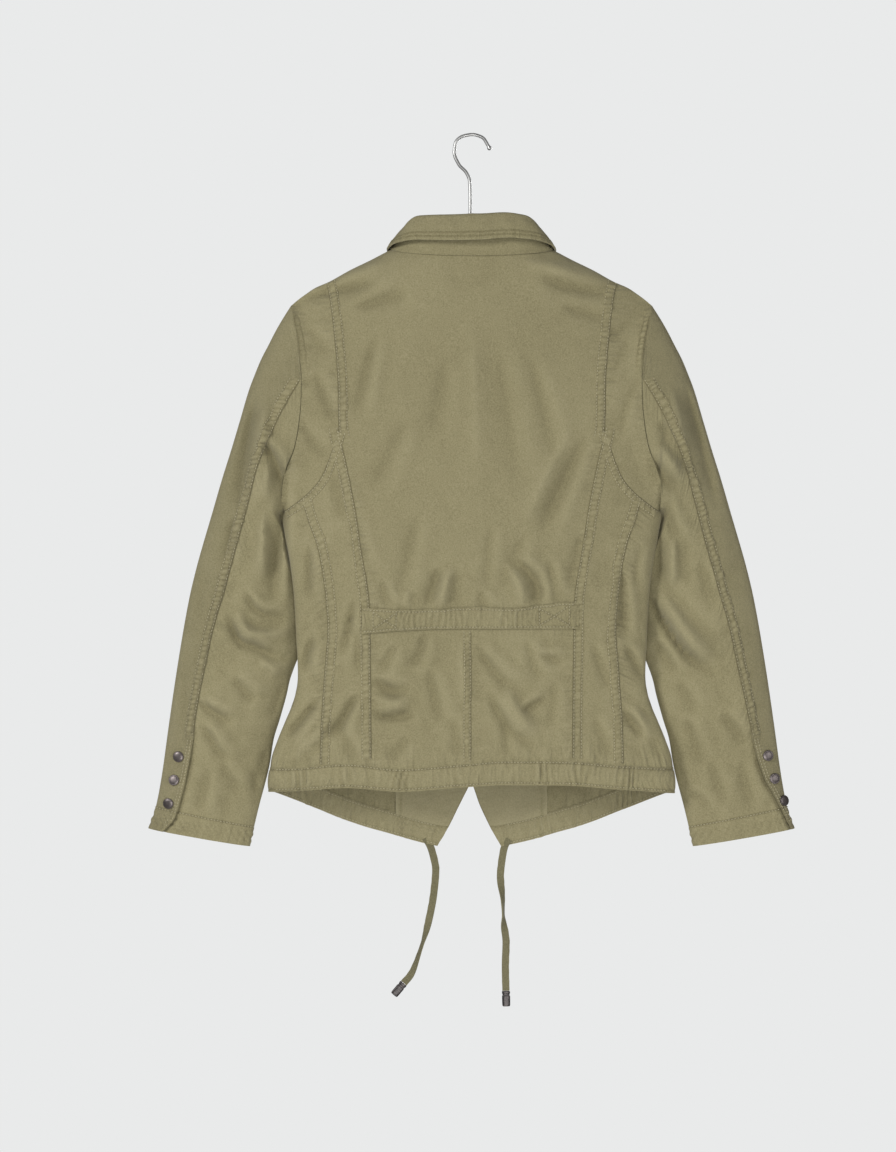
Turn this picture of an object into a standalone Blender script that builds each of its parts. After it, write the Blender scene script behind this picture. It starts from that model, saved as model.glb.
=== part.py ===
# A woman's light twill jacket on a hanger, hung by its hook, its back towards -Y.
# Sizes are in millimetres and go to Blender in metres, with +Z up. The origin is under
# the crown of the hook, where a rail carries it. Left is the wearer's left, at -X.

from math import pi, radians, sin

import bpy
import bmesh
import numpy as np
from mathutils import Vector

MM = 0.001

# Driving sizes
CLOTH = 1.5            # wall of one layer of twill
DOUBLE = 2.2           # wall of the collar and the hem casing
SEAM = 0.3             # air between two pieces at a seam
BELT_LIFT = 3.0        # how far the half belt stands off, over the gathers under it
BAR_CLEAR = 3.5        # air between the hanger bar and the cloth that lies over it
RIDGE = 40.0           # depth over which the shoulder rounds off
NECK_HALF = 88.0       # half width of the neck at the shoulder seams
NECK_BACK_Z = -134.0
NECK_SIDE_Z = -124.6
NECK_FRONT_Z = -206.0
WAIST_Z = -531.0       # seam under the half belt
ARM_TOP_Z = -186.2
ARM_LOW_Z = -413.0
ARM_BACK = 26.0        # how far the armhole opens behind and before the shoulder line
ARM_FRONT = 30.0
LAP = 14.0             # each front passes the centre by this much
LAP_RISE = 3.6         # the right front and its facing lie over the left ones
HEM_DEEP = 25.0        # drawcord casing
SIDE_LEAN = -6.0       # the side folds swing back, so that the sleeves tuck behind them
WIRE = 3.6
BAR = 10.0
SNAP = 12.0
CORD = 5.0
AGLET = (9.0, 3.2, 17.0)


def table(columns, *rows):
    return dict(zip(columns.split(), np.array(rows, float).T))


# The line over the shoulder, from the neck to the sleeve; it runs on inside the neck
RIDGE_LINE = table("x z", (0, -86), (45, -105), (88, -124.6), (112, -137), (133, -147.2), (157, -160.4),
                   (172, -167), (182, -173.6), (191, -180.2), (198, -186.2))
# Half width: the armhole seam down to the underarm, then the side fold
EDGE = table("z x", (-186, 198), (-204, 194.7), (-226, 190), (-248, 187.5), (-269, 185.6), (-293, 186),
             (-323, 189), (-345, 193.5), (-364, 201), (-384, 207), (-413, 209), (-436, 205.7), (-466, 200),
             (-508, 195), (-554, 192.5), (-596, 190.5), (-620, 195), (-642, 204), (-664, 213), (-686, 220),
             (-714, 222.5), (-730, 223))
# How far the cloth lies from the shoulder plane
DEPTH = table("z back front", (-120, 26, 24), (-200, 30, 31), (-300, 33, 37), (-400, 36, 38),
              (-500, 33, 34), (-596, 29, 30), (-660, 31, 32), (-785, 33, 33))
# Seams of the back, as half widths
PRINCESS = table("z x", (-161, 160), (-180, 155.7), (-224, 150.2), (-272, 146.3), (-320, 145.2),
                 (-356, 137.5), (-384, 131.7), (-412, 126.2), (-451, 120.7), (-517, 111), (-583, 110),
                 (-690, 109))
SIDE_BACK = table("z x", (-398, 186), (-422, 179.3), (-450, 169.4), (-477, 163.9), (-510, 159.5),
                  (-543, 157.6), (-576, 160), (-642, 164.5), (-690, 166))
YOKE = table("x z", (145.2, -323), (150.7, -341), (156.8, -359), (165.6, -378), (177.7, -392),
             (191, -403), (207, -412.6), (210, -413))
# The casing of the back, whose cord gathers it, and the hem of the fronts
HEM_BACK = table("x top low", (-223, -694, -720.5), (-190, -693, -718.6), (-136, -688, -714.8),
                 (-81, -693.4, -718.6), (-13, -688.5, -714), (36, -684.5, -711.5), (100, -685, -712),
                 (157, -690, -716.5), (223, -694, -722))
HEM_FRONT = table("x z", (30, -785.5), (45, -782.5), (66, -777.3), (94, -769), (115, -763), (141, -754),
                  (165, -744), (198, -730), (223, -719.2))
FRONT_EDGE = table("z left right", (-200, 14, -14), (-685, 14, -14), (-698, 9, -8), (-712.6, 0, 0),
                   (-740, -14, 10), (-764, -26, 21.5), (-786, -39, 34))
BELT =table("x top low", (-120, -518, -547), (-79, -520.6, -543), (-40, -520, -541.5), (0, -518, -541),
             (42, -519, -541), (75, -516, -541), (104, -512.5, -541), (116, -513.5, -541))
# Sleeve outline: the outer edge and the inner edge, which hides behind the side fold
SLEEVE_OUT = table("z x", (-186.2, 198), (-197, 205), (-213, 214.5), (-230, 223.3), (-246, 231.6),
                   (-263, 238.7), (-279, 244.8), (-312, 254.7), (-345, 264.6), (-378, 275), (-411, 284.6),
                   (-477, 303.6), (-510, 311.3), (-576, 322.9), (-642, 332.8), (-708, 342.1),
                   (-741, 348.7), (-762, 356))
SLEEVE_IN = table("z x y", (-413, 209.6, 0), (-425, 210.4, 1), (-440, 207.5, 3), (-460, 203.7, 6),
                  (-480, 200.7, 10), (-500, 197.5, 14), (-520, 195, 17), (-540, 193.5, 19),
                  (-560, 194, 19), (-576, 197.5, 18), (-609, 203, 17), (-642, 211.8, 16),
                  (-664, 218.5, 16), (-692, 223, 15), (-741, 235.4, 14), (-782, 245, 13))
# Along the sleeve from the armhole: half thickness, how far the outer edge lies forward, and the
# cosine of the angle at which the left and right back seams stand, counted from the outer edge
SLEEVE = table("v thick out_y left right", (0, 28, 0, 0.27, 0.27), (0.1, 27, 1, 0.27, 0.27),
               (0.25, 24, 3, 0.30, 0.30), (0.5, 20, 5, 0.43, 0.43), (0.75, 16.5, 6, 0.49, 0.50),
               (0.82, 15.3, 6.8, 0.49, 0.54), (0.895, 14.3, 7, 0.505, 0.645), (0.93, 13.9, 7.2, 0.525, 0.77),
               (0.97, 13.6, 7.6, 0.56, 0.88), (1, 13.5, 8, 0.70, 0.92))
INNER_LAG = 1.4        # the underarm end of each ring falls behind the shoulder end
FRONT_SEAM = -0.75     # the same cosine for the seam at the front
VENT_TOP = 0.815       # the cuff's vent opens here
VENT_LAP = 0.34        # angle in radians by which the under sleeve passes under the upper one there
CAP_FADE = 0.27        # share of the length over which the armhole turns into the sleeve's own ring
# Largest folds of the back and of the sleeves behind: a line, its half width and its rise
FOLDS_BACK = table(
    "x1 z1 x2 z2 wide rise",
    (-190, -186, -84, -150, 13, -3.5), (76, -160, 155, -180, 12, -4), (-108, -226, -128, -312, 17, -3),
    (-70, -312, -112, -392, 17, -3.2), (-172, -262, -154, -322, 12, -3), (63, -245, 92, -367, 17, -3.5),
    (34, -240, 38, -390, 20, -2.5), (121, -334, 72, -438, 14, -5), (104, -326, 56, -430, 16, 3),
    (-152, -372, -140, -424, 12, -3.5), (-35, -474, -49, -514, 12, -4), (-20, -470, -34, -514, 12, 3),
    (48, -466, 66, -514, 10, 5), (62, -450, 82, -512, 10, -4), (-51, -548, -62, -590, 12, -4),
    (-106, -596, -80, -616, 10, -3.5), (4, -560, 42, -610, 12, -4), (20, -608, 70, -668, 12, -4.5),
    (-172, -550, -186, -590, 11, -3.5), (-168, -610, -188, -628, 10, -3.5), (165, -476, 166, -550, 10, -4),
    (167, -560, 190, -600, 11, -4), (167, -632, 186, -658, 10, -3.5),
    (-226, -338, -196, -334, 13, -5), (-212, -380, -207, -420, 12, -5), (-222, -456, -217, -512, 13, -5),
    (-259, -516, -240, -551, 13, -5), (-240, -551, -197, -543, 12, -5), (-297, -630, -266, -646, 13, -4),
    (-243, -294, -256, -372, 14, -4), (193, -350, 222, -394, 14, -6), (234, -272, 268, -405, 13, -4),
    (196, -511, 224, -556, 14, -5), (224, -556, 267, -594, 14, -5), (270, -640, 296, -668, 13, -4))
FOLDS_FRONT = table(
    "x1 z1 x2 z2 wide rise",
    (-170, -190, -92, -165, 13, -3.5), (90, -168, 165, -188, 13, -3.5), (-120, -330, -70, -420, 18, -4),
    (118, -318, 66, -402, 17, -4), (-150, -500, -146, -590, 16, -4), (148, -490, 152, -600, 15, -4),
    (-90, -560, -60, -650, 17, -4), (70, -570, 110, -660, 16, -4), (-250, -540, -206, -560, 14, -4),
    (228, -500, 270, -560, 14, -4), (-290, -600, -250, -640, 14, -4), (240, -400, 262, -470, 15, -4))
# Collar, by angle round the neck from the middle of the back: where the roll lies from the
# neck seam, and where the free edge of the fall lies from the roll
COLLAR = table("turn roll_x roll_y roll_z edge_x edge_y edge_z", (0, 0, -3, 43, 0, -5, -27.5),
               (40, -1, -1, 39.5, 4, -6, -25.5), (65, -8, 3, 26, 14, -7, -17),
               (90, -11, 8, 13.5, 16, -1, -9.5), (120, -9, 11, 22, 30, 8, -22),
               (150, -5, 11, 25, 42, 8, -38), (174, -1, 11, 28, 44, 6, -54))
# Hook: the middle of the wire, from the stem to the tip
HOOK = table("x z", (-1.5, -111.3), (-1.5, -66), (-2, -50), (-5.5, -40.5), (-14, -31), (-19, -18),
             (-17.5, -7), (-9.5, 0), (1, 1.8), (12, -1.5), (18, -10), (21, -15.5))
BAR_ARCH = table("x z", (0, -116.5), (40, -122), (70, -130), (88, -136.5))
BAR_HALF = 158.0
CORDS = {
    "left": table("x y z", (-45.7, 33, -784.2), (-42, 33.5, -796), (-39.5, 34, -810), (-41.5, 34, -835),
                  (-48, 33.5, -870), (-58.5, 33, -905), (-66.6, 33, -926), (-75, 33, -936.5)),
    "right": table("x y z", (37, 36, -785.6), (34.5, 36.5, -798), (32.5, 37, -818), (35.2, 37, -845),
                   (36, 37, -868), (38.8, 37, -892), (38, 36.5, -918), (38.6, 36, -945.5)),
}
CUFF_SNAP_V = (0.856, 0.901, 0.945)
FRONT_SNAP_Z = (-238, -346, -454, -562, -668)

# Colour, roughness and metal of each finish
FINISHES = {
    "twill": ((0.27, 0.24, 0.135), 0.85, 0.0),
    "tape": ((0.19, 0.17, 0.09), 0.9, 0.0),
    "gunmetal": ((0.12, 0.10, 0.09), 0.35, 0.9),
    "steel": ((0.45, 0.45, 0.43), 0.35, 1.0),
    "bar": ((0.55, 0.53, 0.5), 0.5, 0.0),
}
materials = {}


# Curves and surfaces

def smooth(rows, key, value, at):
    # A cubic through the rows of a table that never overshoots them, level past its ends
    order = np.argsort(rows[key])
    keys, values = rows[key][order], rows[value][order]
    pitch = np.diff(values) / np.diff(keys)
    before, after = pitch[:-1], pitch[1:]
    agree = before * after > 0
    inner = np.where(agree, 2 * before * after / np.where(agree, before + after, 1), 0)
    slopes = np.concatenate([pitch[:1], inner, pitch[-1:]])
    at = np.clip(at, keys[0], keys[-1])
    i = np.clip(np.searchsorted(keys, at, "right") - 1, 0, len(keys) - 2)
    span = keys[i + 1] - keys[i]
    t = (at - keys[i]) / span
    return ((1 + 2 * t) * (1 - t) ** 2 * values[i] + t * (1 - t) ** 2 * span * slopes[i]
            + t ** 2 * (3 - 2 * t) * values[i + 1] + t ** 2 * (t - 1) * span * slopes[i + 1])


def step(value, low, high):
    t = np.clip((value - low) / (high - low), 0, 1)
    return t * t * (3 - 2 * t)


def relief(folds, x, z):
    # Rise of the cloth over all folds, each with round ends
    total = np.zeros(np.broadcast(x, z).shape)
    for x1, z1, x2, z2, wide, rise in zip(*folds.values()):
        run_x, run_z = x2 - x1, z2 - z1
        t = np.clip(((x - x1) * run_x + (z - z1) * run_z) / (run_x ** 2 + run_z ** 2), 0, 1)
        far = (x - x1 - t * run_x) ** 2 + (z - z1 - t * run_z) ** 2
        total += rise * np.exp(-far / wide ** 2)
    return total


def neck_z(x, side):
    # Neck seam: a shallow curve behind, a deep one before
    low = NECK_BACK_Z if side < 0 else NECK_FRONT_Z
    round_off = np.sqrt(np.clip(1 - (x / NECK_HALF) ** 2, 0, 1))
    return low + (NECK_SIDE_Z - low) * (1 - round_off)


def top_z(x, side):
    half = np.abs(x)
    return np.where(half < NECK_HALF, neck_z(half, side), smooth(RIDGE_LINE, "x", "z", half))


def body_y(x, z, side):
    # The cloth of the back (side -1) or of a front (side 1) over the point x, z
    half = np.abs(x)
    share = np.clip(half / smooth(EDGE, "z", "x", z), 0, 1)
    full = smooth(DEPTH, "z", "back" if side < 0 else "front", z)
    middle, reach = (ARM_TOP_Z + ARM_LOW_Z) / 2, (ARM_TOP_Z - ARM_LOW_Z) / 2
    oval = np.sqrt(np.clip(1 - ((z - middle) / reach) ** 2, 0, 1))
    hole = oval * (ARM_BACK if side < 0 else ARM_FRONT)
    crown = (1 - share ** 3) ** (0.5 + 0.5 * step(z, ARM_LOW_Z, ARM_LOW_Z + 60))
    drop = np.clip((smooth(RIDGE_LINE, "x", "z", half) - z) / RIDGE, 0, 1)
    ridge = np.sqrt(1 - (1 - drop) ** 2)
    deep = hole + (full * ridge - hole) * crown + SEAM * 0.7 * (1 - ridge)
    lean = SIDE_LEAN * share ** 6 * step(-z, -ARM_LOW_Z - 10, -ARM_LOW_Z + 40)
    folds = FOLDS_BACK if side < 0 else FOLDS_FRONT
    return side * (deep + relief(folds, x, z) * np.minimum(crown, ridge)) + lean


def body_point(turn, z, hand):
    # A point by its turn round the side fold: -1 is the middle of the back, 1 of the front
    x = hand * smooth(EDGE, "z", "x", z) * (1 - turn ** 2)
    y = np.where(turn < 0, body_y(x, z, -1), body_y(x, z, 1))
    return np.stack([x, y, z], axis=-1)


def turn_of(x, z):
    return np.sqrt(np.clip(1 - x / smooth(EDGE, "z", "x", z), 0, None))


def normals_by(surface, first, second, outward, nudge=(0.004, 0.5), hand=1):
    # Unit normals of a surface of two values, turned to agree with outward
    across = surface(first + nudge[0], second) - surface(first - nudge[0], second)
    along = surface(first, second + nudge[1]) - surface(first, second - nudge[1])
    facing = np.cross(across, along) * np.reshape(hand, np.shape(hand) + (1,))
    facing /= np.linalg.norm(facing, axis=-1, keepdims=True)
    wrong = np.sum(facing * outward) < 0
    return -facing if wrong else facing


def grid(columns, rows, left, right, top, low, hand=1):
    # Points x, z that fill the space between four lines, each given for half widths
    u, v = np.meshgrid(columns, rows)
    z = top(np.full_like(u, 100.0)) * (1 - v) + low(np.full_like(u, 100.0)) * v
    for _ in range(40):
        x = left(z) * (1 - u) + right(z) * u
        z = top(x) * (1 - v) + low(x) * v
    return hand * x, z


def even(count):
    return np.linspace(0, 1, count)


def from_ridge(length, count):
    # Rows that crowd where the cloth rolls over the shoulder
    rolled = RIDGE * (1 - np.cos(np.linspace(0, pi / 2, 5)[:-1]))
    return np.concatenate([rolled, np.linspace(RIDGE, length, count)]) / length


# Solids

def finish(name):
    if name not in materials:
        colour, rough, metal = FINISHES[name]
        made = bpy.data.materials.new(name)
        made.use_nodes = True
        shader = made.node_tree.nodes["Principled BSDF"]
        shader.inputs["Base Color"].default_value = (*colour, 1)
        shader.inputs["Roughness"].default_value = rough
        shader.inputs["Metallic"].default_value = metal
        materials[name] = made
    return materials[name]


def add_piece(name, data, finish_name):
    # An object in the scene with a material of its own
    piece = bpy.data.objects.new(name, data)
    bpy.context.scene.collection.objects.link(piece)
    material = finish(finish_name).copy()
    material.name = name
    data.materials.append(material)
    return piece


def add_mesh(name, points, faces, finish_name):
    mesh = bpy.data.meshes.new(name)
    mesh.from_pydata([tuple(point) for point in np.array(points) * MM], [], faces)
    shape = bmesh.new()
    shape.from_mesh(mesh)
    bmesh.ops.recalc_face_normals(shape, faces=shape.faces)
    shape.to_mesh(mesh)
    shape.free()
    mesh.shade_smooth()
    mesh.set_sharp_from_angle(angle=radians(40))
    return add_piece(name, mesh, finish_name)


def grid_normals(points, outward):
    # Unit normals of a grid of points, turned to agree with outward
    facing = np.cross(np.gradient(points, axis=1), np.gradient(points, axis=0))
    facing /= np.linalg.norm(facing, axis=2, keepdims=True)
    return -facing if np.sum(facing * outward) < 0 else facing


def wall(name, points, facing, thick=CLOTH, lift=0.0, finish_name="twill"):
    # A closed wall whose outer skin is the grid, moved out by lift
    outer = points + facing * lift
    inner = outer - facing * thick
    rows, columns = points.shape[:2]
    count = rows * columns

    def at(row, column, skin):
        return skin * count + row * columns + column

    faces = []
    for row in range(rows - 1):
        for column in range(columns - 1):
            for skin in (0, 1):
                faces.append((at(row, column, skin), at(row, column + 1, skin),
                              at(row + 1, column + 1, skin), at(row + 1, column, skin)))
    rim = [(0, c) for c in range(columns)] + [(r, columns - 1) for r in range(1, rows)]
    rim += [(rows - 1, c) for c in range(columns - 2, -1, -1)] + [(r, 0) for r in range(rows - 2, 0, -1)]
    for here, there in zip(rim, rim[1:] + rim[:1]):
        faces.append((at(*here, 0), at(*there, 0), at(*there, 1), at(*here, 1)))
    return add_mesh(name, np.concatenate([outer.reshape(-1, 3), inner.reshape(-1, 3)]), faces, finish_name)


def body_facing(x, z, side):
    # Normals of the body; at the shoulder seam both sides stand straight up
    hand, half = np.where(x < 0, -1, 1), np.abs(x)
    turn = side * turn_of(half, z)
    facing = normals_by(lambda t, h: body_point(t, h, hand), turn, z, (0, side, 0), hand=hand)
    seam = (z > smooth(RIDGE_LINE, "x", "z", half) - 0.5) & (half > NECK_HALF - 3)
    slope = smooth(RIDGE_LINE, "x", "z", half + 2) - smooth(RIDGE_LINE, "x", "z", half - 2)
    upright = np.stack([-hand * slope / 4, 0 * slope, 1 + 0 * slope], axis=-1)
    upright /= np.linalg.norm(upright, axis=-1, keepdims=True)
    return np.where(seam[..., None], upright, facing)


def body_wall(name, half, z, side, hand=1, rise=0.0, **options):
    x = hand * half
    points = np.stack([x, body_y(x, z, side) + rise, z], axis=-1)
    return wall(name, points, body_facing(x, z, side), **options)


def tube(name, points, diameter, sides_step, finish_name):
    curve = bpy.data.curves.new(name, "CURVE")
    curve.dimensions = "3D"
    curve.bevel_depth = diameter / 2 * MM
    curve.bevel_resolution = sides_step
    curve.use_fill_caps = True
    curve.render_resolution_u = 0
    line = curve.splines.new("POLY")
    line.points.add(len(points) - 1)
    for slot, point in zip(line.points, points):
        slot.co = (*(np.array(point) * MM), 1)
    return add_piece(name, curve, finish_name)


def even_path(rows, count):
    # Evenly spaced points of a smooth line through the rows of a table
    points = np.stack(list(rows.values()), axis=1)
    far = np.concatenate([[0], np.cumsum(np.linalg.norm(np.diff(points, axis=0), axis=1))])
    named = dict(rows, far=far)
    at = np.linspace(0, far[-1], count)
    return np.stack([smooth(named, "far", key, at) for key in rows], axis=1)


# Pieces of the body

def armhole_rows():
    # Angles round the armhole at which all the pieces that meet there have their points
    seam, front = np.arccos(SLEEVE["left"][0]), np.arccos(FRONT_SEAM)
    behind = np.concatenate([np.linspace(0, seam, 5), np.linspace(seam, pi, 7)[1:]])
    before = np.concatenate([np.linspace(0, front, 9), np.linspace(front, pi, 3)[1:]])
    return behind, before


def princess(z):
    return smooth(PRINCESS, "z", "x", z)


def hem_top(side, hand):
    # Upper edge of the casing, behind and before
    if side < 0:
        return lambda x: smooth(HEM_BACK, "x", "top", hand * x)
    return lambda x: smooth(HEM_FRONT, "x", "z", x) + HEM_DEEP


def back_pieces():
    def yoke(x):
        return smooth(YOKE, "x", "z", x)

    x, z = grid(even(13), from_ridge(397, 13), lambda z: SEAM - princess(z), lambda z: princess(z) - SEAM,
                lambda x: top_z(x, -1), lambda x: WAIST_Z + SEAM / 2 + 0 * x)
    body_wall("back_centre", x, z, -1)
    behind, before = armhole_rows()
    for name, hand in (("left", -1), ("right", 1)):
        low = hem_top(-1, hand)
        x, z = grid(even(9), even(9), lambda z: SEAM / 2 + 0 * z, lambda z: princess(z) - SEAM,
                    lambda x: WAIST_Z - SEAM / 2 + 0 * x, lambda x: low(x) + 3 * SEAM)
        body_wall("back_lower_" + name, x, z, -1, hand)
        x, z = grid(even(5), (1 - np.cos(behind)) / 2, lambda z: princess(z) + SEAM,
                    lambda z: smooth(EDGE, "z", "x", z) - SEAM / 2,
                    lambda x: smooth(RIDGE_LINE, "x", "z", x), lambda x: yoke(x) + 2 * SEAM)
        body_wall("shoulder_side_" + name, x, z, -1, hand)
        x, z = grid(even(5), even(15), lambda z: princess(z) + SEAM,
                    lambda z: smooth(SIDE_BACK, "z", "x", z) - SEAM, lambda x: yoke(x) - 2 * SEAM,
                    lambda x: low(x) + 2 * SEAM)
        body_wall("side_back_" + name, x, z, -1, hand)


def side_front(z):
    # Seam between the side panel and a front, just before the side fold
    return smooth(EDGE, "z", "x", z) - 0.6 - 22 * step(-z, -ARM_LOW_Z, -ARM_LOW_Z + 150)


def side_pieces():
    columns, rows = np.meshgrid(even(9), even(11))
    for name, hand in (("left", -1), ("right", 1)):
        z = ARM_LOW_Z - rows * 281
        for _ in range(30):
            edge = smooth(EDGE, "z", "x", z)
            back = -turn_of(smooth(SIDE_BACK, "z", "x", z) + SEAM, z)
            turn = back * (1 - columns) + turn_of(side_front(z) + SEAM, z) * columns
            half = edge * (1 - turn ** 2)
            top = np.where(turn < 0, smooth(YOKE, "x", "z", half), ARM_LOW_Z) - 2.5 * SEAM
            low = np.where(turn < 0, hem_top(-1, hand)(half), hem_top(1, hand)(half)) + 4 * SEAM
            z = top * (1 - rows) + low * rows
        points = body_point(turn, z, hand)
        facing = normals_by(lambda t, h: body_point(t, h, hand), turn, z, (hand, 0, 0))
        wall("side_" + name, points, facing)


def lapped(half, hand):
    # The right front lies over the left one, and comes back to its own place beside it
    return LAP_RISE * (1 - step(half, 30, 75)) if hand > 0 else 0 * half


def front_pieces():
    neck = NECK_HALF * np.sin(np.linspace(0.1, pi / 2, 6))
    columns = (np.concatenate([[-LAP], neck, [106, 126, 150, 175, 198]]) + LAP) / (198 + LAP)
    behind, before = armhole_rows()
    seam_low = hem_top(1, 1)(side_front(-700.0)) + SEAM
    upper = (1 - np.cos(before)) / 2 * (ARM_TOP_Z - ARM_LOW_Z) / (ARM_TOP_Z - seam_low)
    rows = np.concatenate([upper, np.linspace(upper[-1], 1, 11)[1:]])
    faced = len(neck) + 1
    for name, hand in (("left", -1), ("right", 1)):
        def outside(z):
            seam = np.where(z > ARM_LOW_Z, smooth(EDGE, "z", "x", z), side_front(z))
            return seam - SEAM * (0.5 + (z < ARM_LOW_Z))

        half, z = grid(columns, rows, lambda z: hand * smooth(FRONT_EDGE, "z", name, z), outside,
                       lambda x: top_z(np.maximum(x, 0), 1),
                       lambda x: hem_top(1, hand)(x) + SEAM * (3 - 2 * step(x, 60, 150)))
        rise = lapped(half, hand)
        body_wall("front_" + name, half, z, 1, hand, rise)
        half[:, 0] += 1.0
        z[-1] += 1.2
        body_wall("facing_" + name, half[1:, :faced], z[1:, :faced], 1, hand, rise[1:, :faced],
                  lift=-CLOTH - SEAM)


def hem_pieces():
    # Casing of the back from one side fold to the other, then of each front
    close = 0.004
    u, v = np.meshgrid(np.linspace(-1, 1, 25), even(3))
    turn = 1 - np.abs(u) * (1 - close)
    z = np.full_like(u, -700.0)
    for _ in range(20):
        x = np.sign(u) * smooth(EDGE, "z", "x", z) * (1 - turn ** 2)
        z = smooth(HEM_BACK, "x", "top", x) * (1 - v) + smooth(HEM_BACK, "x", "low", x) * v
    body_wall("hem_back", x, z, -1, thick=DOUBLE)
    v, u = np.meshgrid(even(3), even(15), indexing="ij")
    for name, hand in (("left", -1), ("right", 1)):
        z = np.full_like(u, -740.0)
        for _ in range(40):
            near = turn_of(hand * smooth(FRONT_EDGE, "z", name, z), z)
            half = smooth(EDGE, "z", "x", z) * (1 - (near * (1 - u) + close * u) ** 2)
            z = hem_top(1, hand)(half) - v * HEM_DEEP
        body_wall("hem_front_" + name, half, z, 1, hand, lapped(half, hand), thick=DOUBLE)


def belt():
    x, v = np.meshgrid(np.linspace(BELT["x"][0], BELT["x"][-1], 13), even(3))
    z = smooth(BELT, "x", "top", x) * (1 - v) + smooth(BELT, "x", "low", x) * v
    body_wall("belt", x, z, -1, thick=CLOTH, lift=BELT_LIFT)


# Collar

def neck_line(turn):
    # The neck seam at an angle from the middle of the back, with the cloth's depth there
    x = NECK_HALF * np.sin(turn)
    behind = np.abs(turn) < pi / 2
    z = np.where(behind, neck_z(x, -1), neck_z(x, 1))
    y = np.where(behind, body_y(x, z, -1), body_y(x, z, 1))
    return np.stack([x, y, z], axis=-1)


def collar_offset(turn, part):
    degrees = np.degrees(np.abs(turn))
    x = np.sign(turn) * smooth(COLLAR, "turn", part + "_x", degrees)
    y = smooth(COLLAR, "turn", part + "_y", degrees)
    return np.stack([x, y, smooth(COLLAR, "turn", part + "_z", degrees)], axis=-1)


def collar():
    turn = np.radians(np.linspace(-174, 174, 31))
    seam = neck_line(turn)
    seam[:, 2] += 3 * SEAM
    seam[:, 1] += LAP_RISE * step(np.abs(turn), pi / 2, pi * 0.8)
    roll = seam + collar_offset(turn, "roll")
    edge = roll + collar_offset(turn, "edge")
    rows = np.stack([seam * (1 - v) + roll * v for v in even(4)])
    wall("collar_stand", rows, grid_normals(rows, rows - (0, 10, 0)), thick=DOUBLE)
    out = edge - roll
    out[:, 2] = 0
    out /= np.linalg.norm(out, axis=1, keepdims=True)
    up = np.array([0, 0, 1.0])
    start = roll + out * 0.8 + up * (SEAM + 0.3)
    shoulder = roll + out * 2.2 - up * 1.5
    rows = [start, shoulder]
    rows += [shoulder * (1 - v) + (edge + out * 2.2) * v + out * 2.0 * sin(pi * v) for v in (0.2, 0.6, 1)]
    rows = np.stack(rows)
    wall("collar_fall", rows, grid_normals(rows, rows * (1, 1, 0) - (0, 10, 0)), thick=-DOUBLE)


# Sleeves

def path_of(rows, v):
    # A point at share v of the way along an outline, by length
    far = np.concatenate([[0], np.cumsum(np.hypot(np.diff(rows["x"]), np.diff(rows["z"])))])
    named = dict(rows, far=far / far[-1])
    return [smooth(named, "far", key, v) for key in rows if key != "far"]


def sleeve_point(angle, v, hand):
    # A point of the sleeve; the angle is 0 on the outer edge and grows over the back
    out_z, out_x = path_of(SLEEVE_OUT, v)
    in_z, in_x, in_y = path_of(SLEEVE_IN, np.clip(v, 0, 1) ** INNER_LAG)
    along = np.cos(angle)
    x = (out_x + in_x) / 2 + (out_x - in_x) / 2 * along
    z = (out_z + in_z) / 2 + (out_z - in_z) / 2 * along
    thick = smooth(SLEEVE, "v", "thick", v)
    out_y = smooth(SLEEVE, "v", "out_y", v)
    y = out_y + (in_y - out_y) * (1 - along) / 2 - thick * np.sin(angle)
    cap = 1 - step(v, 0, CAP_FADE)
    cap_z = (ARM_TOP_Z + ARM_LOW_Z) / 2 + (ARM_TOP_Z - ARM_LOW_Z) / 2 * along
    straight = 203.5 - 5.5 * along
    x = x + cap * (smooth(EDGE, "z", "x", cap_z) + 2 * SEAM - straight)
    round_hole = np.where(np.sin(angle) > 0, ARM_BACK, ARM_FRONT)
    y = y - cap * (round_hole - SLEEVE["thick"][0]) * np.sin(angle)
    behind = np.clip(np.sin(angle), 0, 1)
    before = np.clip(-np.sin(angle), 0, 1)
    settled = step(v, 0, 0.12) * (1 - 0.7 * step(v, 0.93, 1))
    y = y - settled * behind * relief(FOLDS_BACK, hand * x, z)
    y = y + settled * before * relief(FOLDS_FRONT, hand * x, z)
    return np.stack([hand * x, y, z], axis=-1)


def sleeve_centre(v, hand):
    out_z, out_x = path_of(SLEEVE_OUT, v)
    in_z, in_x, in_y = path_of(SLEEVE_IN, np.clip(v, 0, 1) ** INNER_LAG)
    return np.stack([hand * (out_x + in_x) / 2, in_y / 2, (out_z + in_z) / 2], axis=-1)


def back_seam(v, name):
    return np.arccos(smooth(SLEEVE, "v", name, v))


def sleeve_facing(angle, v, hand):
    # Normals of a sleeve; its first ring stands straight across the armhole
    outward = sleeve_point(angle, v, hand) - sleeve_centre(v, hand)
    facing = normals_by(lambda a, s: sleeve_point(a, s, hand), angle, v, outward, (0.01, 0.002))
    radial = np.stack([0 * angle[0], -np.sin(angle[0]), np.cos(angle[0])], axis=-1)
    facing[0] = radial
    return facing


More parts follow.
